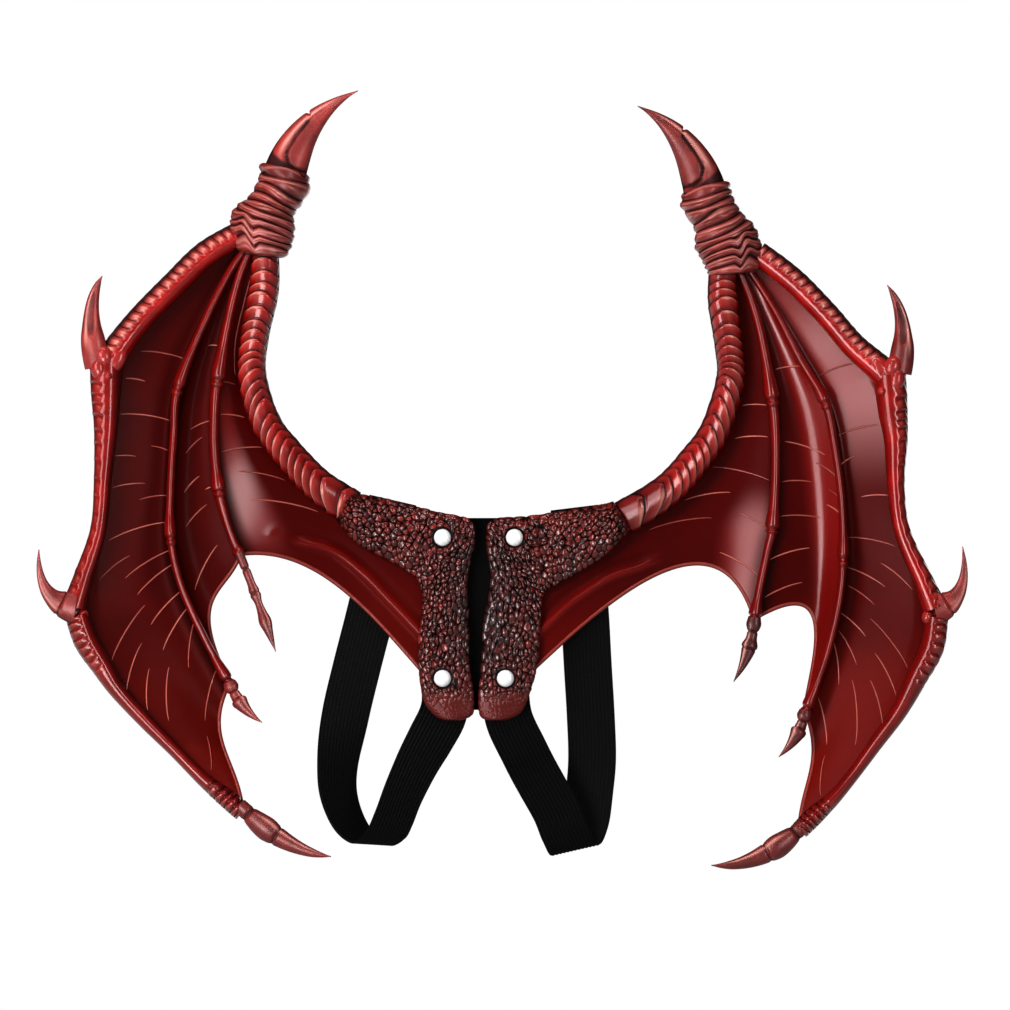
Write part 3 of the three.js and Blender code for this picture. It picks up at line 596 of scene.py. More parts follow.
upperLook = {
    **fingerLook, "rings": 23, "uneven": 0.12, "bow": (0.3, 0.3), "peak": (0.3, 0.3), "lean": -2.6,
    "depth": 1.7, "glow": 0.45, "bloom": 0.45, "ink": 1, "dim": 0.2, "aged": (0, 0),
    "grooved": upperGroove,
    # painted sheen on the outer flank, and painted shade at the outer edge
    "flank": lambda outer: smooth(-0.05, 0.3, outer),
    "dusk": lambda outer, side: smooth(0.45, 0.8, outer),
    "lit": lambda outer: 0.9 * bump(outer, 0.28, 0.24)}
middleLook = {
    **fingerLook, "rings": 18, "uneven": 0.2, "bow": (0.5, 0.5), "peak": (0.3, 0.3), "lean": 2.2,
    "depth": 2.2, "glow": 0.35, "ink": 0.5, "aged": (0.4, 0.25), "grooved": middleGroove,
    "profile": lambda inside: (0.3 + 0.7 * smooth(0, 0.85, inside)) * (1 - smooth(0.9, 1.0, inside))}
lowerLook = {
    **fingerLook, "rings": 28, "uneven": 0.22, "bow": (0.8, 0.8), "peak": (0.2, 0.2), "lean": 0.6,
    "depth": 2.2, "glow": 0.4, "ink": 0.6, "aged": (0.65, 0.7), "grooved": lowerGroove}
elbowRow = [-251, 156, 276, 147, 30, 20, 12]  # where the upper finger runs on into the elbow
wristRow = [-142, 252, 163, 241, 22, 18, 12]  # where the arm starts inside the wrap
bones = {"arm_bone": ([wristRow] + armRows, armLook),
         "upper_finger_bone": (upperFingerRows + [elbowRow], upperLook),
         "middle_finger_bone": (middleFingerRows, middleLook),
         "lower_finger_bone": (lowerFingerRows, lowerLook)}
boneAround = 40
boneSeeds = {"left": 21, "right": 11}
lobes = {  # x, front, z, half length, half width and turn of the knuckles' lumps
    "left": [
        [-250.5, 46.5, 168, 7.5, 6, -20], [-254, 46.5, 160, 8, 5.4, -8],
        [-247.5, 47.5, 154.5, 3.4, 3.2, 0], [-243, 44, 164.5, 11, 6.5, 35], [-269, 43, -2, 8, 7, 0],
        [-264, 48, -5, 5, 4, 0]],
    "right": [
        [275, 40.5, 161, 7.5, 6, 20], [277.5, 40.5, 152.5, 8, 5.4, 8],
        [267.5, 40.5, 144.5, 3.2, 3, 0], [267, 38, 159, 11, 6.5, -35], [303, 37, -3, 8, 7, 0],
        [298, 42, -6, 5, 4, 0]]}
lobeLook = {"depth": 5, "segments": 24, "rings": 14}


def lobeAt(x, front, z, long, wide, slope):
    look = lobeLook
    bpy.ops.mesh.primitive_uv_sphere_add(
        segments=look["segments"], ring_count=look["rings"], radius=mm,
        location=(x * mm, -front * mm, z * mm), rotation=(0, math.radians(slope), 0),
        scale=(wide, look["depth"], long))
    bpy.ops.object.transform_apply(location=True, rotation=True, scale=True)
    bpy.ops.object.shade_smooth()
    lobe = bpy.context.object
    fronts = np.array([-vertex.co.y / mm - front for vertex in lobe.data.vertices]) / look["depth"]
    # painted shade: darker towards each lobe's sides and back; the lobes' rose is their own colour
    relief = 0.2 + 0.8 * smooth(0.0, 0.5, fronts)
    paint(lobe, {"relief": relief, "flank": 0.6, "dusk": 0, "rim": 0, "deep": 0})
    return lobe


for side in sweep:
    for index, (bone, (rows, look)) in enumerate(bones.items()):
        shape, along = boneForm(rows, side, look, boneSeeds[side] + index)
        piece = formTube(boneAround, along, shape)
        if bone == "middle_finger_bone":
            joinTo(piece, [lobeAt(*row) for row in lobes[side]])
        dress(piece, side + "_" + bone, "bone")
print("bones shaped")


ribLook = {"knobs": [0.333, 0.667, 0.985], "slim": 0.95, "back": 1.5, "around": 20, "along": 240}


def ribForm(rows, side):
    wing = wingRows(rows, side)

    def shape(s, t):
        outer, lift = roundOf(s)
        middle, across, size = pathOf(wing, t, side)
        swell = ribLook["slim"] * np.ones(len(t))
        for place in ribLook["knobs"]:
            flare = window(place - 0.07, place - 0.008, place - 0.008, place + 0.003, t)
            swell = swell + 0.5 * flare + 0.4 * bump(t - place, 0.01, 0.005)
        rise = np.where(lift > 0, lift * size[:, 1] * swell, lift * ribLook["back"])
        points = placed(middle, across, outer * size[:, 0] / 2 * swell, rise)
        # painted shade: darker along the rib's sides and back; the darker red it gets is the ribs' own
        # colour
        relief = 0.2 + 0.6 * smooth(0.0, 0.9, np.abs(lift))
        return points, {"relief": relief, "flank": 0, "dusk": 0, "rim": 0, "deep": 0.75}
    return shape


for side in sweep:
    for rib, rows in {"inner_rib": innerRibRows, "outer_rib": outerRibRows}.items():
        piece = formTube(ribLook["around"], ribLook["along"], ribForm(rows, side))
        dress(piece, side + "_" + rib, "bone")
print("ribs shaped")


wrapLook = {"folds": 10, "uneven": 0.3, "depth": 3.8, "first": 0.13, "roll": (6, 7), "around": 64,
            "leans": ([0.0, 0.25, 0.6, 1.0], [0, 4.5, 7.5, 5]), "seeds": {"left": 5, "right": 8}}
wrapRows = [  # leftX leftZ rightX rightZ front width height
    [-131, 294, 151, 282, 22.5, 33, 27], [-130, 283, 151, 272, 22.5, 35, 27],
    [-136, 272, 157, 261, 22.5, 35, 25], [-143, 265, 163, 253, 22.5, 39, 23],
    [-145, 255, 165, 243, 22.5, 43, 22], [-145, 245, 168, 234, 22.5, 40, 21],
    [-145, 234, 169, 222, 22.5, 31, 19]]
wrapTurns = [13, 10, 8, 7, 7, 6, 6]  # slope of each section


def wrapForm(side):
    look = wrapLook
    wing = wingRows(wrapRows, side)
    length = lengthOf(wing)
    count = look["folds"]
    chance = np.random.default_rng(look["seeds"][side])
    edges = ringEdges(count, look["uneven"], look["seeds"][side])
    edges[1] = look["first"]
    leans = np.interp(edges, *look["leans"]) + chance.uniform(-1.2, 1.2, count + 1)
    waves = chance.uniform(0, turn, count + 1)
    plump = chance.uniform(0.8, 1.15, count)

    def shape(s, t):
        outer, lift = roundOf(s)
        ring, inside, whole = ringPlaces(t, count, edges)
        angle = turn * s
        wave = np.interp(whole, edges, leans) * outer
        wave = wave + 1.3 * np.sin(2 * angle + np.interp(whole, edges, waves))
        ends = window(0, 0.35, 0.7, 1, whole)
        tuck = 2.6 * bump(outer, 0.3, 0.13) - 3 * bump(outer, 0.62, 0.18)  # the folded tuck below
        tuck = tuck * smooth(0.55, 0.75, whole) * (1 - smooth(0.86, 1, whole)) * smooth(0, 0.3, lift)
        place = np.clip(whole - (wave * ends - 1.3 * tuck) / length, 0, 1)
        here = splineAt(wing, place)
        slope = np.radians(splineAt(wrapTurns, place)) * outward[side]
        across = np.column_stack([np.cos(slope), np.zeros(len(t)), np.sin(slope)]) * outward[side]
        first = ring == 0  # this fold is a roll that closes on the claw
        full = np.where(first, 0.35 + 0.55 * inside, inside)
        fine = np.sin(turn * 1.5 * full + 2 * np.sin(2 * angle + 9 * whole) + ring)
        crest = np.sin(math.pi * full ** 0.7) ** 0.7 * 0.86 + 0.14 * fine * np.sin(math.pi * full)
        shallow = 1 - np.where(first, 0.1, 0.55) * outer ** 2
        sunk = look["depth"] * (1 - crest * plump[ring]) * shallow
        roll = np.where(first, np.clip(1 - inside / 0.7, 0, 1), 0)
        roll = np.where(ring == count - 1, np.clip(inside / 0.5 - 1, 0, 1), roll)
        sunk = sunk + np.where(first, *look["roll"]) * (1 - np.sqrt(1 - roll ** 2))
        reach = outer * (here[:, 3] / 2 + 1 - sunk)
        points = placed(middleOf(here), across, reach, domed(lift, 0.8, here[:, 4] - sunk))
        # painted shade in the grooves between the folds, painted highlight in pale lines along the
        # folds, and a darker red that deepens into painted shade towards each fold's far edge
        lined = window(0.02, 0.16, 0.74, 0.95, full)
        stray = 0.1 * np.sin(3 * angle + ring)
        pale = bump(full, 0.26, 0.055) + 0.6 * bump(full - 0.56, stray, 0.045)
        return points, {"relief": 0.08 + 0.92 * lined, "rim": pale * smooth(0.1, 0.5, lift),
                        "deep": 0.33 + 0.3 * smooth(0.5, 0.9, full)}
    return shape, count * ringRows


for side in sweep:
    shape, along = wrapForm(side)
    dress(formTube(wrapLook["around"], along, shape), side + "_wrist_wrap", "claw")
print("wraps shaped")


tapers = {"horn": [0.97, 0.87, 0.68, 0.46, 0.22, 0.02],
          "spur": [1, 0.97, 0.88, 0.7, 0.57, 0.47, 0.36, 0.22, 0.03],
          "thorn": [1, 0.86, 0.68, 0.5, 0.38, 0.28, 0.2, 0.12, 0.03],
          "knuckle": [0.62, 0.7, 0.9, 1.0, 0.84, 0.72, 0.6, 0.48, 0.36, 0.2, 0.04],
          "leaf": [0.8, 0.95, 0.7, 0.72, 1.02, 0.85, 0.68, 0.52, 0.36, 0.2, 0.05],
          "dart": [0.72, 0.7, 0.68, 0.66, 0.66, 0.9, 0.6, 0.72, 1.0, 0.68, 0.36, 0.05]}
claws = {  # base, bend and tip as leftX leftZ rightX rightZ front, and pairs as left and right
    # deep: a darker brown-red share per wing, painted shade where the wings differ; foot: how dark the
    # painted shade is at the claw's foot
    "thumb_claw": {
        "rows": [[-131, 285, 151, 273, 33], [-120, 328, 141, 318, 35], [-81, 344, 105, 334, 46]],
        "width": (30, 30), "height": 20, "taper": ("horn", "horn"), "deep": (0.05, 0.45), "foot": 0.84,
        "notch": 0.57, "grooves": {  # lines as corners x z, and how far their shade spreads inwards
            "left": [([[-114, 325], [-122, 316], [-128, 307], [-129, 302], [-127, 296], [-122, 292],
                       [-114, 290]], 5), ([[-114, 327], [-107, 331], [-98, 336]], 1.5)],
            "right": [([[135, 315], [142, 306], [148, 297], [149, 292], [147, 286], [142, 282],
                        [135, 280]], 5), ([[135, 317], [129, 321], [121, 326]], 1.5)]}},
    "upper_spike": {
        "rows": [[-254, 161, 279, 157, 36], [-264, 201, 287, 193, 38], [-251, 221, 271, 215, 44]],
        "width": (18, 17), "height": 14, "taper": ("spur", "spur"), "deep": (0.15, 0.45), "foot": 0.15,
        "hollow": (0.52, 0.27)},
    "lower_spike": {
        "rows": [[-269, 1, 303, 0, 42], [-295, 4, 327, 5, 44], [-293, 39, 321, 41, 48]],
        "width": (23, 23), "height": 13, "taper": ("thorn", "thorn"), "deep": (0.35, 0.2), "foot": 0.3,
        "creases": [0.2]},
    "tip_claw": {
        "rows": [[-160, -131, 216, -144, 35], [-129, -162, 185, -174, 38], [-99, -165, 154, -171, 44]],
        "width": (16, 16), "height": 13, "taper": ("knuckle", "knuckle"), "deep": (0.55, 0.62),
        "foot": 0.3, "creases": [0.1, 0.4]},
    "inner_rib_claw": {
        "rows": [[-161, 38, 183, -6, 20], [-149, 9, 181, -31, 21], [-136, -29, 169, -49, 26]],
        "width": (8.5, 10.5), "height": 7, "taper": ("dart", "leaf"), "deep": (0.65, 0.95), "foot": 0.2,
        "creases": [0.45, 0.2]},
    "outer_rib_claw": {
        "rows": [[-167, -49, 217, -68, 28], [-160, -67, 213, -87, 29], [-145, -76, 199, -99, 34]],
        "width": (10.5, 10.5), "height": 8, "taper": ("leaf", "leaf"), "deep": (0.45, 0.75),
        "foot": 0.2, "creases": [0.2, 0.34]}}
clawLook = {"fine": (56, 130), "plain": (48, 90), "grooveWidth": 1.0, "grooveDepth": 2.2, "broad": 3,
            "creaseWidth": 0.014, "notchWidth": 0.012, "notchDepth": 2.2}


def clawForm(claw, side):
    look = clawLook
    base, bend, tip = wingRows(claw["rows"], side) * [1, -1, 1]
    width = claw["width"][sideIndex[side]]
    taper = tapers[claw["taper"][sideIndex[side]]]

    def shape(s, t):
        outer, lift = roundOf(s)
        u = t[:, None]
        middle = (1 - u) ** 2 * base + 2 * u * (1 - u) * bend + u ** 2 * tip
        ahead = unit((1 - u) * (bend - base) + u * (tip - bend))
        across = np.column_stack([ahead[:, 2], np.zeros(len(t)), -ahead[:, 0]])
        across = unit(across) * -outward[side]
        deep = np.cross(ahead, across)
        deep = deep * np.sign(-deep[:, 1:2])
        share = splineAt(taper, t)
        cut = np.zeros(len(t))
        for place in claw.get("creases", []):
            cut = np.maximum(cut, 0.8 * bump(t, place, look["creaseWidth"]))
        shaded = cut
        rough = middle + across * (outer * width / 2 * share)[:, None]
        front = smooth(-0.1, 0.2, lift)
        for path, spread in claw.get("grooves", {}).get(side, []):
            far, beside = pathDistance(rough[:, [0, 2]], np.array(path, float))
            soft = np.where(beside == -outward[side], spread, look["grooveWidth"] * 1.4)
            sharp = 1 if spread > look["broad"] else 0.3
            cut = np.maximum(cut, sharp * bump(far, 0, look["grooveWidth"]) * front)
            spilt = 0.72 * sharp * bump(far, 0, soft) * front
            shaded = np.maximum(shaded, np.maximum(cut * 0.95, spilt))
        if "hollow" in claw:
            place, reach = claw["hollow"]
            oval = ((t - place) / reach) ** 2 + ((outer + 0.08) / 0.62) ** 2
            pit = (1 - smooth(0.7, 1.0, oval)) * smooth(0, 0.2, lift)
            cut = np.maximum(cut, 0.7 * pit)
            shaded = np.maximum(shaded, 0.66 * pit)
        sunk = look["grooveDepth"] * cut * np.minimum(1, share * 1.5)
        narrow = sunk * 0.4
        if "notch" in claw:
            notch = look["notchDepth"] * bump(t, claw["notch"], look["notchWidth"])
            narrow = narrow + notch * smooth(-0.35, -0.85, outer)
        points = middle + across * (outer * (width / 2 * share - narrow))[:, None]
        points = points + deep * (lift * (claw["height"] / 2 * share - sunk))[:, None]
        # painted shade: dark at the foot by the wrap, on the back, at the edges and in the grooves and
        # the pit
        footed = 1 - claw["foot"] * (1 - smooth(0.11, 0.17, t + 0.05 * outer))
        faced = smooth(-0.3, 0.5, lift) + 0.75 * smooth(-0.25, -0.6, lift)
        relief = 0.92 * footed * faced * (1 - shaded) * (1 - 0.6 * smooth(0.85, 1.0, np.abs(outer)))
        # painted highlight: a pale streak along the outer shoulder
        rim = bump(outer, -0.6, 0.13) * window(0.12, 0.3, 0.7, 0.95, t)
        return points, {"relief": relief, "rim": rim * smooth(0, 0.3, lift),
                        "deep": claw["deep"][sideIndex[side]]}
    return shape


for side in sweep:
    for name, claw in claws.items():
        around, along = clawLook["fine" if "grooves" in claw else "plain"]
        dress(formTube(around, along, clawForm(claw, side)), side + "_" + name, "claw")
print("claws shaped")


rootRows = [  # leftX leftZ rightX rightZ
    [-63, 59, 73, 55], [-33, 50, 40, 49], [-19, 32, 19, 32], [-17, -1, 13, -1], [-17, -35, 12, -35],
    [-19, -63, 11, -63]]
scallops = {  # two handles a hem, the outer one first, leftX leftZ rightX rightZ
    "outer": [[-161, -101, 214, -117], [-186, -87, 231, -103]],
    "middle": [[-198, 11, 216, -54], [-169, 9, 249, 32]],
    "inner": [[-99, 45, 154, 91], [-56, -27, 46, -35]]}
panels = {  # scoop in mm at even steps from the wrist to the hem
    "outer": {"cells": 52, "scoop": [1, 7, 7, 7, 7], "skew": 14, "flat": 0},
    "middle": {"cells": 36, "scoop": [0, 6, 7.2, 6.8, 6.4], "skew": 1, "flat": 0},
    "inner": {"cells": 100, "scoop": [0, 1.5, 3, 6, 4], "skew": 1, "flat": 0.4}}
membraneLook = {"rows": 150, "crease": 50, "span": (-140, 120), "ease": np.linspace(-0.09, 0.09, 9),
                "hemPull": 3, "hemEase": 1.5, "hem": 1.5, "hemAround": 14, "hemAlong": 90,
                "hemSteps": (60, 400)}


def fingerRail(side):
    fingers = (upperFingerRows, middleFingerRows, lowerFingerRows)
    thirds = [wingRows(rows, side)[:, :3] for rows in fingers]

    def rail(v):
        third = np.minimum((v * 3).astype(int), 2)
        found = np.zeros((len(v), 3))
        for index, rows in enumerate(thirds):
            here = third == index
            found[here] = splineAt(rows, v[here] * 3 - index)
        return found
    return rail


def splineRail(side, *tables):
    rows = np.vstack([wingRows(table, side)[:, :3] for table in tables])
    return lambda v: splineAt(rows, v)


def panelForm(start, end, handles, panel):  # x, front and z over one panel
    look = membraneLook
    skew = panel["skew"]
    lowest = (1 / (skew + 1)) ** (1 / skew)

    def shape(s, v):
        reach = np.minimum(1, s / (1 - panel["flat"]))
        hollow = reach * (1 - reach ** skew) / (lowest * (1 - lowest ** skew))
        one = np.ones(len(v))
        aEnd, bEnd = start(one)[:, [0, 2]], end(one)[:, [0, 2]]
        share = s[:, None]
        hem = ((1 - share) ** 3 * aEnd + 3 * share * (1 - share) ** 2 * handles[0]
               + 3 * share ** 2 * (1 - share) * handles[1] + share ** 3 * bEnd)
        pulled = hem - aEnd - share * (bEnd - aEnd)

        def placeAt(v):
            a, b = start(v), end(v)
            pull = v ** look["hemPull"] * (1 + look["hemEase"] * (1 - v) * v ** 6)
            flat = a[:, [0, 2]] + share * (b - a)[:, [0, 2]] + pull[:, None] * pulled
            front = a[:, 1] + reach * (b - a)[:, 1] - splineAt(panel["scoop"], v) * hollow
            return np.column_stack([flat[:, 0], -front, flat[:, 1]])
        steps = [placeAt(np.clip(v + step, 0, 1)) for step in look["ease"]]
        even = np.mean(steps, axis=0)  # no crease at the knuckle
        loose = window(0, 0.15, 0.85, 1, s) * smooth(0, 0.12, v) * (1 - smooth(0.8, 0.95, v))
        return placeAt(v) * (1 - loose[:, None]) + even * loose[:, None], reach
    return shape


def membranePanels(side):
    root = [row + [rootFront] for row in rootRows]
    arm = [row[:5] for row in armRows]
    rails = [fingerRail(side), splineRail(side, outerRibRows), splineRail(side, innerRibRows),
             splineRail(side, arm, root)]
    first = 2 * sideIndex[side]
    forms = []
    for index, (name, panel) in enumerate(panels.items()):
        handles = np.array(scallops[name], float)[:, first:first + 2]
        forms.append((panelForm(rails[index], rails[index + 1], handles, panel), panel["cells"]))
    return forms


lacquers = {  # how glossy each panel was sprayed, by its share from the outer edge and by height; the same share paints a brighter red under the reflections, a painted sheen
    "left": [
        lambda reach, z: 0.03 + 0 * z,
        lambda reach, z: 0.03 + 0 * z,
        lambda reach, z: ((0.05 + 0.75 * window(25, 60, 125, 155, z))
                          * window(0.02, 0.14, 0.2, 0.42, reach))],
    "right": [
        lambda reach, z: (0.05 + 0.95 * smooth(75, 150, z)) * (1 - smooth(0.8, 0.93, reach)),
        lambda reach, z: (0.55 + 0.4 * smooth(-10, 60, z)) * (1 - smooth(0.45, 0.75, reach)),
        lambda reach, z: (0.03 + 0.77 * (1 - smooth(50, 85, z))) * (1 - smooth(0.18, 0.38, reach))]}
shadows = {  # painted shade on each panel beside the ribs, and across the lower part of the left outer panel
    "left": [
        lambda reach, z: np.maximum(0.5 * smooth(0.45, 0.8, reach),
                                    0.5 * smooth(25, -10, z) * smooth(-110, -85, z)),
        lambda reach, z: 0.75 * (1 - smooth(0.08, 0.45, reach)),
        lambda reach, z: 0 * reach],
    "right": [
        lambda reach, z: 0 * reach,
        lambda reach, z: 0.3 * smooth(0.6, 0.9, reach),
        lambda reach, z: 0 * reach]}
folds = {  # the broad fold along the inner hem, x z
    "left": [[-133, 47], [-100, 39], [-80, 25], [-60, 5], [-41, -15], [-30, -27]],
    "right": [[30, -24], [43, -13], [63, 5], [87, 20], [107, 27], [127, 35]]}
foldLook = {"wide": 3.2, "high": 2.4, "low": 1.2, "beside": 6, "fade": 22, "steps": 40}


def heightMark(z):
    return smooth(*membraneLook["span"], z)


def membraneForm(side, forms):
    total = sum(cells for form, cells in forms)
    look = foldLook

    def shape(s, t):
        points = np.zeros((len(s), 3))
        relief, gloss = np.ones(len(s)), np.ones(len(s))
        column = np.rint(s * total)
        begin = 0
        for (form, cells), lacquer, shadow in zip(forms, lacquers[side], shadows[side]):
            here = (column >= begin) & (column <= begin + cells)
            share = (column[here] - begin) / cells
            found, reach = form(share, 1 - t[here])
            points[here] = found
            edge = np.minimum(share, 1 - share)
            # painted shade towards each panel's edges beside the ribs and bones, and from the shadows
            # table
            relief[here] = (smooth(0, 0.12, edge) * 0.75 + 0.25) * (1 - shadow(reach, found[:, 2]))
            gloss[here] = lacquer(reach, found[:, 2])
            begin += cells
        fold = splineAt(folds[side], np.linspace(0, 1, look["steps"]))
        flat = points[:, [0, 2]]
        far, beside = pathDistance(flat, fold)
        above = beside * np.sign(fold[-1, 0] - fold[0, 0]) > 0
        outerEnd = fold[-sideIndex[side]]
        ends = smooth(0, look["fade"], np.linalg.norm(flat - outerEnd, axis=1))
        ridge = bump(far, 0, look["wide"]) * ends
        trough = np.where(above, bump(far, look["beside"], look["wide"]), 0) * ends
        points[:, 1] -= look["high"] * ridge - look["low"] * trough
        # painted highlight: the fold's ridge a lighter red with a pale crest; painted shade in the
        # trough beside it
        height = heightMark(points[:, 2]) - 0.35 * ridge
        return points, {"relief": relief * (1 - 0.4 * trough), "height": height,
                        "crest": 0.25 * ridge ** 6, "gloss": np.maximum(gloss, 0.35 * ridge)}
    return shape, total


def hemTube(form):
    look = membraneLook
    few, many = look["hemSteps"]
    line = splineAt(form(np.linspace(0, 1, few), np.ones(few))[0], np.linspace(0, 1, many))
    ways = unit(np.gradient(line, axis=0))

    def shape(s, t):
        edge = form(t, np.ones(len(t)))[0]
        aside, lift = roundOf(s)
        way = ways[np.clip((t * (many - 1)).astype(int), 0, many - 1)]
        points = edge + unit(np.cross(way, [0, 1, 0])) * (aside * look["hem"])[:, None]
        points[:, 1] += membraneWall / 2 - lift * look["hem"] * 1.5
        # painted shade on the hem's sides, painted highlight on its top
        return points, {"relief": 0.5 + 0.5 * np.abs(lift), "height": heightMark(edge[:, 2]),
                        "crest": 0.5 * smooth(0.3, 0.9, lift), "gloss": 0.5}
    return formTube(look["hemAround"], look["hemAlong"], shape)


veins = {  # raised lines as corners x z, x z
    "left": [
        [-150, 229, -155, 199, -160, 175, -163, 155], [-226, 171, -197, 166],
        [-236, 153, -223, 151], [-240, 129, -207, 125], [-219, 108, -208, 105],
        [-244, 101, -229, 101], [-245, 80, -223, 83], [-227, 72, -208, 75], [-247, 45, -210, 57],
        [-253, 19, -233, 35], [-236, 20, -205, 39], [-228, 9, -203, 30], [-245, -35, -223, 2],
        [-235, -55, -225, -23], [-219, -11, -198, 12], [-211, -28, -193, 2], [-194, -40, -189, -5],
        [-221, -68, -220, -40], [-207, -75, -207, -39], [-183, -75, -175, -40],
        [-182, -85, -179, -108], [-181, 175, -175, 175], [-193, 119, -179, 125],
        [-196, 103, -185, 114], [-197, 77, -187, 88], [-183, 79, -178, 81], [-196, 54, -182, 69],
        [-190, 12, -175, 42], [-175, 151, -163, 149], [-173, 129, -157, 127],
        [-172, 104, -145, 107], [-161, 91, -130, 85], [-153, 72, -108, 64]],
    "right": [
        [225, 154, 249, 163], [239, 115, 265, 122], [240, 95, 249, 101], [254, 74, 272, 75],
        [245, 47, 277, 41], [267, 30, 288, 12], [245, 27, 270, 14], [245, 15, 263, 2],
        [240, -3, 257, -19], [260, -7, 285, -40], [239, -15, 251, -38], [263, -30, 277, -58],
        [260, -48, 268, -78], [248, -48, 250, -91], [235, -21, 239, -51], [225, -59, 231, -91],
        [230, -98, 227, -125], [197, 159, 215, 161], [203, 111, 230, 102], [224, 97, 240, 85],
        [232, 79, 241, 72], [231, 69, 241, 62], [201, 84, 221, 84], [200, 61, 227, 60],
        [193, 32, 220, 40], [190, 7, 215, 17], [175, 135, 192, 135], [170, 113, 192, 114],
        [155, 94, 193, 85], [137, 72, 167, 77], [173, 63, 190, 54], [113, 52, 155, 60],
        [160, 37, 185, 22]]}
veinLook = {"radius": 0.72, "sides": 8, "steps": 28, "bow": 0.05, "sunk": 0.12, "seed": 3, "start": -1}


def depthUnder(sheet, path, share):  # the sheet's face under a line, in mm
    depth = []
    for x, z in path:
        start = Vector((x * mm, veinLook["start"], z * mm))
        found, spot = sheet.ray_cast(start, Vector((0, 1, 0)))[:2]
        depth.append(spot.y / mm if found else np.nan)
    depth = np.array(depth)
    known = ~np.isnan(depth)
    return np.interp(share, share[known], depth[known])


def veinLines(sheet, side):  # all of a wing's veins as one mesh, laid on the sheet
    look = veinLook
    size = (look["steps"], look["sides"])
    share = np.linspace(0, 1, look["steps"])
    angle = np.linspace(0, turn, look["sides"], endpoint=False)
    spots = np.arange(look["steps"] * look["sides"]).reshape(size)
    beside = np.roll(spots, -1, axis=1)
    quads = np.stack([spots[:-1], beside[:-1], beside[1:], spots[1:]], axis=-1).reshape(-1, 4)
    corners, faces = [], []
    for row in veins[side]:
        ends = np.array(row, float).reshape(-1, 2)
        path = splineAt(ends, share)
        leg = ends[-1] - ends[0]
        lean = np.array([-leg[1], leg[0]]) * np.sign(leg[0] if abs(leg[0]) > 1 else 1)
        path = path + np.sin(math.pi * share)[:, None] * lean * look["bow"]
        ahead = unit(np.gradient(path, axis=0))
        radius = (look["radius"] * (0.25 + 0.75 * np.sin(math.pi * share) ** 0.6))[:, None]
        ring = np.empty(size + (3,))
        ring[..., 0] = path[:, :1] + ahead[:, 1:] * radius * np.cos(angle)
        ring[..., 2] = path[:, 1:] - ahead[:, :1] * radius * np.cos(angle)
        ring[..., 1] = depthUnder(sheet, path, share)[:, None] + look["sunk"] - radius * np.sin(angle)
        first = len(corners) * spots.size
        corners.append(ring)
        faces += (first + quads).tolist() + (first + spots[[0, -1]]).tolist()
    points = np.concatenate(corners).reshape(-1, 3)
    mesh = bpy.data.meshes.new("veins")
    mesh.from_pydata((points * mm).tolist(), [], faces)
    lines = bpy.data.objects.new("veins", mesh)
    bpy.context.collection.objects.link(lines)
    choose(lines)
    editAll((bpy.ops.mesh.normals_make_consistent, {"inside": False}))
    bpy.ops.object.shade_smooth()
    # painted shade on the veins' sides, painted highlight on their tops, brighter on some veins than on
    # others
    top = np.tile(np.sin(angle), len(corners) * look["steps"])
    bright = np.random.default_rng(look["seed"]).uniform(0.55, 1.0, len(corners))
    paint(lines, {"relief": smooth(0.0, 0.8, top), "height": heightMark(points[:, 2]), "gloss": 0.6,
                  "crest": smooth(0.35, 0.95, top) * np.repeat(bright, spots.size)})
    return lines


for side in sweep:
    forms = membranePanels(side)
    shape, total = membraneForm(side, forms)
    piece = formGrid(total, membraneLook["rows"], shape)
    faceFront(piece)
    thicken(piece, membraneWall, membraneLook["crease"])
    lines = veinLines(piece, side)
    joinTo(piece, [hemTube(form) for form, cells in forms] + [lines])
    dress(piece, side + "_wing_membrane", "membrane")
print("membranes shaped")


plateRungs = [  # leftX leftZ leftInnerX leftInnerZ rightX rightZ rightInnerX rightInnerZ
    [-87, 77, -96, 59, 89, 71, 101, 53], [-67, 74, -84, 44, 70, 67, 88, 39],
    [-47, 69, -67, 35, 50, 64, 72, 27], [-27, 64, -51, 26, 28, 61, 55, 18],
    [-7, 59, -42, 19, 8, 59, 45, 12], [-3, 45, -39, 9, 4, 45, 42, 7],
    [-8, 19, -39, -4, 7, 19, 41, -5], [-7, -9, -41, -21, 2, -11, 40, -21],
    [-7, -36, -41, -40, 1, -38, 38, -40], [-4, -58, -38, -61, -1, -58, 33, -58],
    [-5, -71, -31, -71, 0, -72, 27, -70], [-13, -75, -24, -75, 7, -75, 17, -75]]
plateLook = {"back": 7.4, "rim": 3, "crown": 3.5, "cuff": 6, "columns": 10, "rows": 52, "stray": 0.42,
             "pebble": 2.5, "groove": 1.3, "domed": 2.6, "tilt": 0.16, "bare": (6.2, 8.2),
             "ring": (6.2, 7.4), "bumpy": 0.6, "worn": 0.88, "stretch": (1.1, 0.9),
             "rubbed": (-51, -66), "dusk": (2, 28), "duskSpan": (-70, -20, 30, 60),
             "across": 88, "along": 330, "crease": 60, "seeds": {"left": 21, "right": 34}}
rivetRows = {"top_rivet": {"left": (-25, 47), "right": (23, 47)},
             "bottom_rivet": {"left": (-25, -47), "right": (17, -47)}}


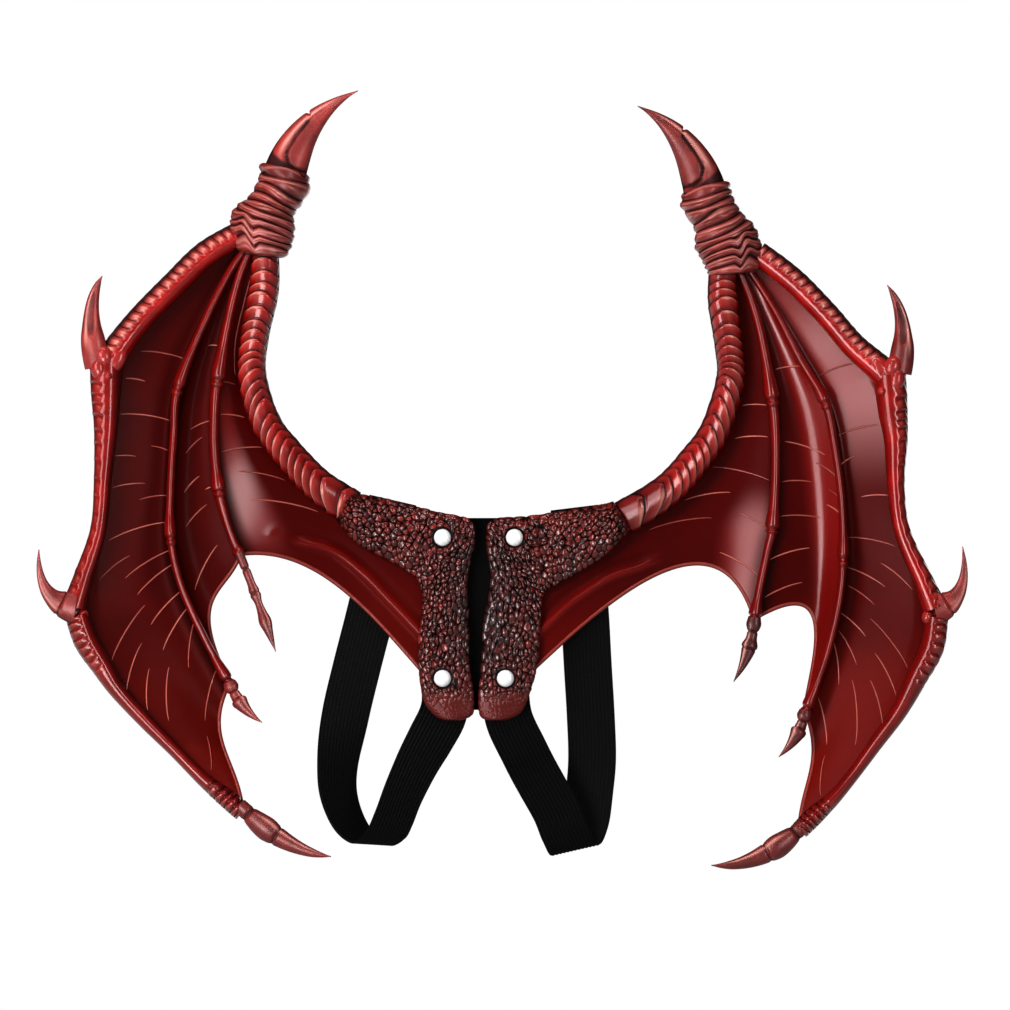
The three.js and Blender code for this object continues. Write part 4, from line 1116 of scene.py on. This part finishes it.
def plateForm(side):
    look = plateLook
    begin = 4 * sideIndex[side]
    rungs = np.array(plateRungs, float)[:, begin:begin + 4]
    chance = np.random.default_rng(look["seeds"][side])

    def flatAt(s, t):
        rung = splineAt(rungs, t)
        return rung[:, :2] + s[:, None] * (rung[:, 2:] - rung[:, :2])

    def offRivets(flat, span):  # 0 round the rivets, 1 away from them
        share = 1
        for places in rivetRows.values():
            share = share * smooth(*span, np.linalg.norm(flat - places[side], axis=1))
        return share

    column, row = np.meshgrid(np.arange(look["columns"]), np.arange(look["rows"]))
    seedS = column + 0.5 + 0.5 * (row % 2) - 0.25 + chance.uniform(-1, 1, row.shape) * look["stray"]
    seedT = row + 0.5 + chance.uniform(-1, 1, row.shape) * look["stray"]
    seeds = flatAt((seedS / look["columns"]).ravel(), (seedT / look["rows"]).ravel())
    tones = chance.uniform(0, 1, len(seeds))
    sizes = chance.uniform(0.6, 1.15, len(seeds))
    plump = chance.uniform(-0.35, 0.35, len(seeds))
    tilts = chance.uniform(-1, 1, (len(seeds), 2)) * look["tilt"]

    def shape(s, t):
        flat = flatAt(s, t)
        first, second = np.full(len(s), np.inf), np.full(len(s), np.inf)
        nearest = np.zeros(len(s), int)
        for index, place in enumerate(seeds):
            far = np.linalg.norm((flat - place) * look["stretch"], axis=1) - plump[index]
            closer = far < first
            second = np.where(closer, first, np.minimum(second, far))
            nearest = np.where(closer, index, nearest)
            first = np.where(closer, far, first)
        apart = np.clip((second - first) / look["groove"], 0, 1)  # 0 in the grooves between pebbles
        dome = np.sqrt(1 - (1 - apart) ** 2) * 0.7 + 0.3 - 0.3 * (first / look["domed"]) ** 2
        dome = dome * sizes[nearest] + ((flat - seeds[nearest]) * tilts[nearest]).sum(axis=1) * apart
        dome = dome * offRivets(flat, look["bare"])
        ends = np.clip(np.minimum(t / 0.03, (1 - t) / 0.05), 0, 1)
        rounded = np.sqrt(np.clip(np.sin(math.pi * s), 0, 1)) * np.sqrt(1 - (1 - ends) ** 2)
        cuff = look["cuff"] * (1 - smooth(0.0, 0.2, t))
        rubbed = smooth(*look["rubbed"], flat[:, 1])
        pebbled = look["pebble"] * dome * (1 - look["worn"] * rubbed) * (0.35 + 0.65 * rounded)
        lift = look["rim"] + (look["crown"] + cuff) * rounded + pebbled
        rung = splineAt(rungs, t)
        aside = unit(rung[:, 2:] - rung[:, :2]) * np.sign(s - 0.5)[:, None]
        uneven = look["bumpy"] * (dome - 0.6) * smooth(0.8, 1.0, np.abs(2 * s - 1))
        flat = flat + aside * uneven[:, None]
        x, z = flat.T
        dusk = bump(x, *look["dusk"]) * window(*look["duskSpan"], z)
        # painted shade in the grooves between pebbles and in a ring round each rivet, less of it on the
        # rubbed lobes
        relief = np.clip(apart * (0.5 + 0.5 * dome), 0, 1)
        relief = (relief + (1 - relief) * 0.85 * rubbed) * offRivets(flat, look["ring"])
        return np.column_stack([x, -(look["back"] + lift), z]), {
            "relief": relief, "tone": tones[nearest] * (1 - rubbed) + 0.4 * rubbed,
            "dusk": dusk * (1 - rubbed) + 0.12 * rubbed, "matt": rubbed}
    return shape


for side in sweep:
    piece = formGrid(plateLook["across"], plateLook["along"], plateForm(side))
    faceFront(piece)
    thicken(piece, plateLook["rim"], plateLook["crease"])
    dress(piece, side + "_scale_plate", "scales")
print("plates shaped")


rivetLook = {"seat": 14.2, "end": 0.3, "foot": 2.0, "around": 40, "crease": 40, "profile": [
    (2.8, 0.05), (2.75, 1.6), (2.35, 3.4), (1.6, 4.9), (0.7, 5.6), (0, 5.7), (-0.1, 5.4), (-0.2, 2.2)]}


def rivetForm(s, t):
    look = rivetLook
    heights, radii = np.array(look["profile"] + [(look["end"] - look["seat"], look["foot"])]).T
    index = np.rint(t * (len(radii) - 1)).astype(int)
    aside, lift = roundOf(s)
    x, y, z = radii[index] * aside, -look["seat"] - heights[index], radii[index] * lift
    return np.column_stack([x, y, z]), {}


rivet = formTube(rivetLook["around"], len(rivetLook["profile"]), rivetForm)
bpy.ops.object.shade_smooth_by_angle(angle=math.radians(rivetLook["crease"]))
for name, places in rivetRows.items():
    for side, (x, z) in places.items():
        choose(rivet)
        bpy.ops.object.duplicate(linked=False)
        piece = bpy.context.object
        piece.location = (x * mm, 0, z * mm)
        bpy.ops.object.transform_apply(location=True, rotation=False, scale=False)
        dress(piece, side + "_" + name, "rivet")
bpy.data.objects.remove(rivet)
print("rivets shaped")


strapLayer = -3.05
strapLook = {"width": 32, "wall": 1.5, "ribs": 13, "rib": 0.3, "across": 52, "along": 140, "crease": 50}
strapRows = [  # leftX leftZ leftTurn leftYaw rightX rightZ rightTurn rightYaw back
    [-58, 72, -13, 0, 63, 67, 7, 0, strapLayer], [-65, 32, -13, 0, 67, 32, 6, 0, -2.2],
    [-73, -3, -14, 0, 70, -3, 4, 0, 5], [-82, -38, -13, 0, 72, -38, 3, 0, 14],
    [-90, -71, -12, 8, 74, -71, 2, 0, 23], [-96, -105, -6, 32, 75, -101, 0, 0, 29],
    [-95, -128, -3, 38, 73, -125, 1, 0, 31], [-86, -149, -3, 38, 70, -148, 6, 0, 29],
    [-73, -159, -4, 34, 64, -163, 13, 0, 22], [-63, -153, -10, 34, 57, -151, 19, 0, 15],
    [-57, -141, -20, 34, 51, -136, 24, 0, 12], [-51, -125, -25, 32, 41, -118, 26, 0, 9],
    [-42, -105, -27, 24, 35, -107, 27, 0, 6], [-33, -88, -28, 12, 29, -95, 27, 0, 1],
    [-25, -72, -22, 2, 20, -76, 22, 0, -2.4], [-23, -58, -8, 0, 17, -59, 8, 0, strapLayer],
    [-24, -36, 0, 0, 16, -36, 0, 0, strapLayer]]


def strapTable(side):
    table = np.array(strapRows, float)
    first = 4 * sideIndex[side]
    x, z, slope, yaw = table[:, first:first + 4].T
    return np.column_stack([x, table[:, 8], z, slope, yaw])


def strapForm(side):
    look = strapLook
    table = strapTable(side)

    def shape(s, t):
        here = splineAt(table, t)
        slope, yaw = np.radians(here[:, 3]), np.radians(here[:, 4])
        across = unit(np.column_stack([np.cos(slope), np.tan(yaw), np.sin(slope)]))
        face = unit(np.cross(aheadOf(table, t)[:, :3], across))
        rib = np.cos(turn * look["ribs"] * s)
        points = here[:, :3] + across * ((s - 0.5) * look["width"])[:, None]
        points = points + face * (look["wall"] / 2 + look["rib"] * rib)[:, None]
        # painted shade and highlight: the rib ridges lighter, the grooves between them darker
        return points, {"relief": 0.5 + 0.5 * rib}
    return shape


for side in sweep:
    piece = formGrid(strapLook["across"], strapLook["along"], strapForm(side))
    thicken(piece, strapLook["wall"], strapLook["crease"])
    dress(piece, side + "_arm_strap", "elastic")
    strapLength = lengthOf(strapTable(side))
    print(side, "strap length", round(strapLength), "mm")


panelLook = {"width": 64, "top": 60, "bottom": -68, "wall": 2, "corner": 8, "segments": 8, "hole": 4.8,
             "holeSides": 32, "drill": 8}
panelHeight = panelLook["top"] - panelLook["bottom"]
panelMiddle = (panelLook["top"] + panelLook["bottom"]) / 2
bpy.ops.mesh.primitive_cube_add(size=1)
panel = bpy.context.object
bpy.ops.object.mode_set(mode="EDIT")
bpy.ops.transform.resize(value=(panelLook["width"] * mm, panelLook["wall"] * mm, panelHeight * mm))
bpy.ops.transform.translate(value=(0, -panelLook["wall"] / 2 * mm, panelMiddle * mm))
bpy.ops.mesh.select_all(action="DESELECT")
bpy.ops.object.mode_set(mode="OBJECT")
for edge in panel.data.edges:
    ends = [panel.data.vertices[index].co.y for index in edge.vertices]
    edge.select = abs(ends[0] - ends[1]) > seamGap
bpy.ops.object.mode_set(mode="EDIT")
bpy.ops.mesh.select_mode(type="EDGE")
bpy.ops.mesh.bevel(offset=panelLook["corner"] * mm, segments=panelLook["segments"], affect="EDGES")
bpy.ops.object.mode_set(mode="OBJECT")
for places in rivetRows.values():
    for x, z in places.values():
        bpy.ops.mesh.primitive_cylinder_add(
            vertices=panelLook["holeSides"], radius=panelLook["hole"] / 2 * mm,
            depth=panelLook["drill"] * mm, location=(x * mm, -panelLook["wall"] / 2 * mm, z * mm),
            rotation=(math.pi / 2, 0, 0))
        drill = bpy.context.object
        bpy.context.view_layer.objects.active = panel
        bpy.ops.object.modifier_add(type="BOOLEAN")
        panel.modifiers[0].object = drill
        bpy.ops.object.modifier_apply(modifier=panel.modifiers[0].name)
        bpy.data.objects.remove(drill)
dress(panel, "back_panel", "panel")
print("panel shaped")
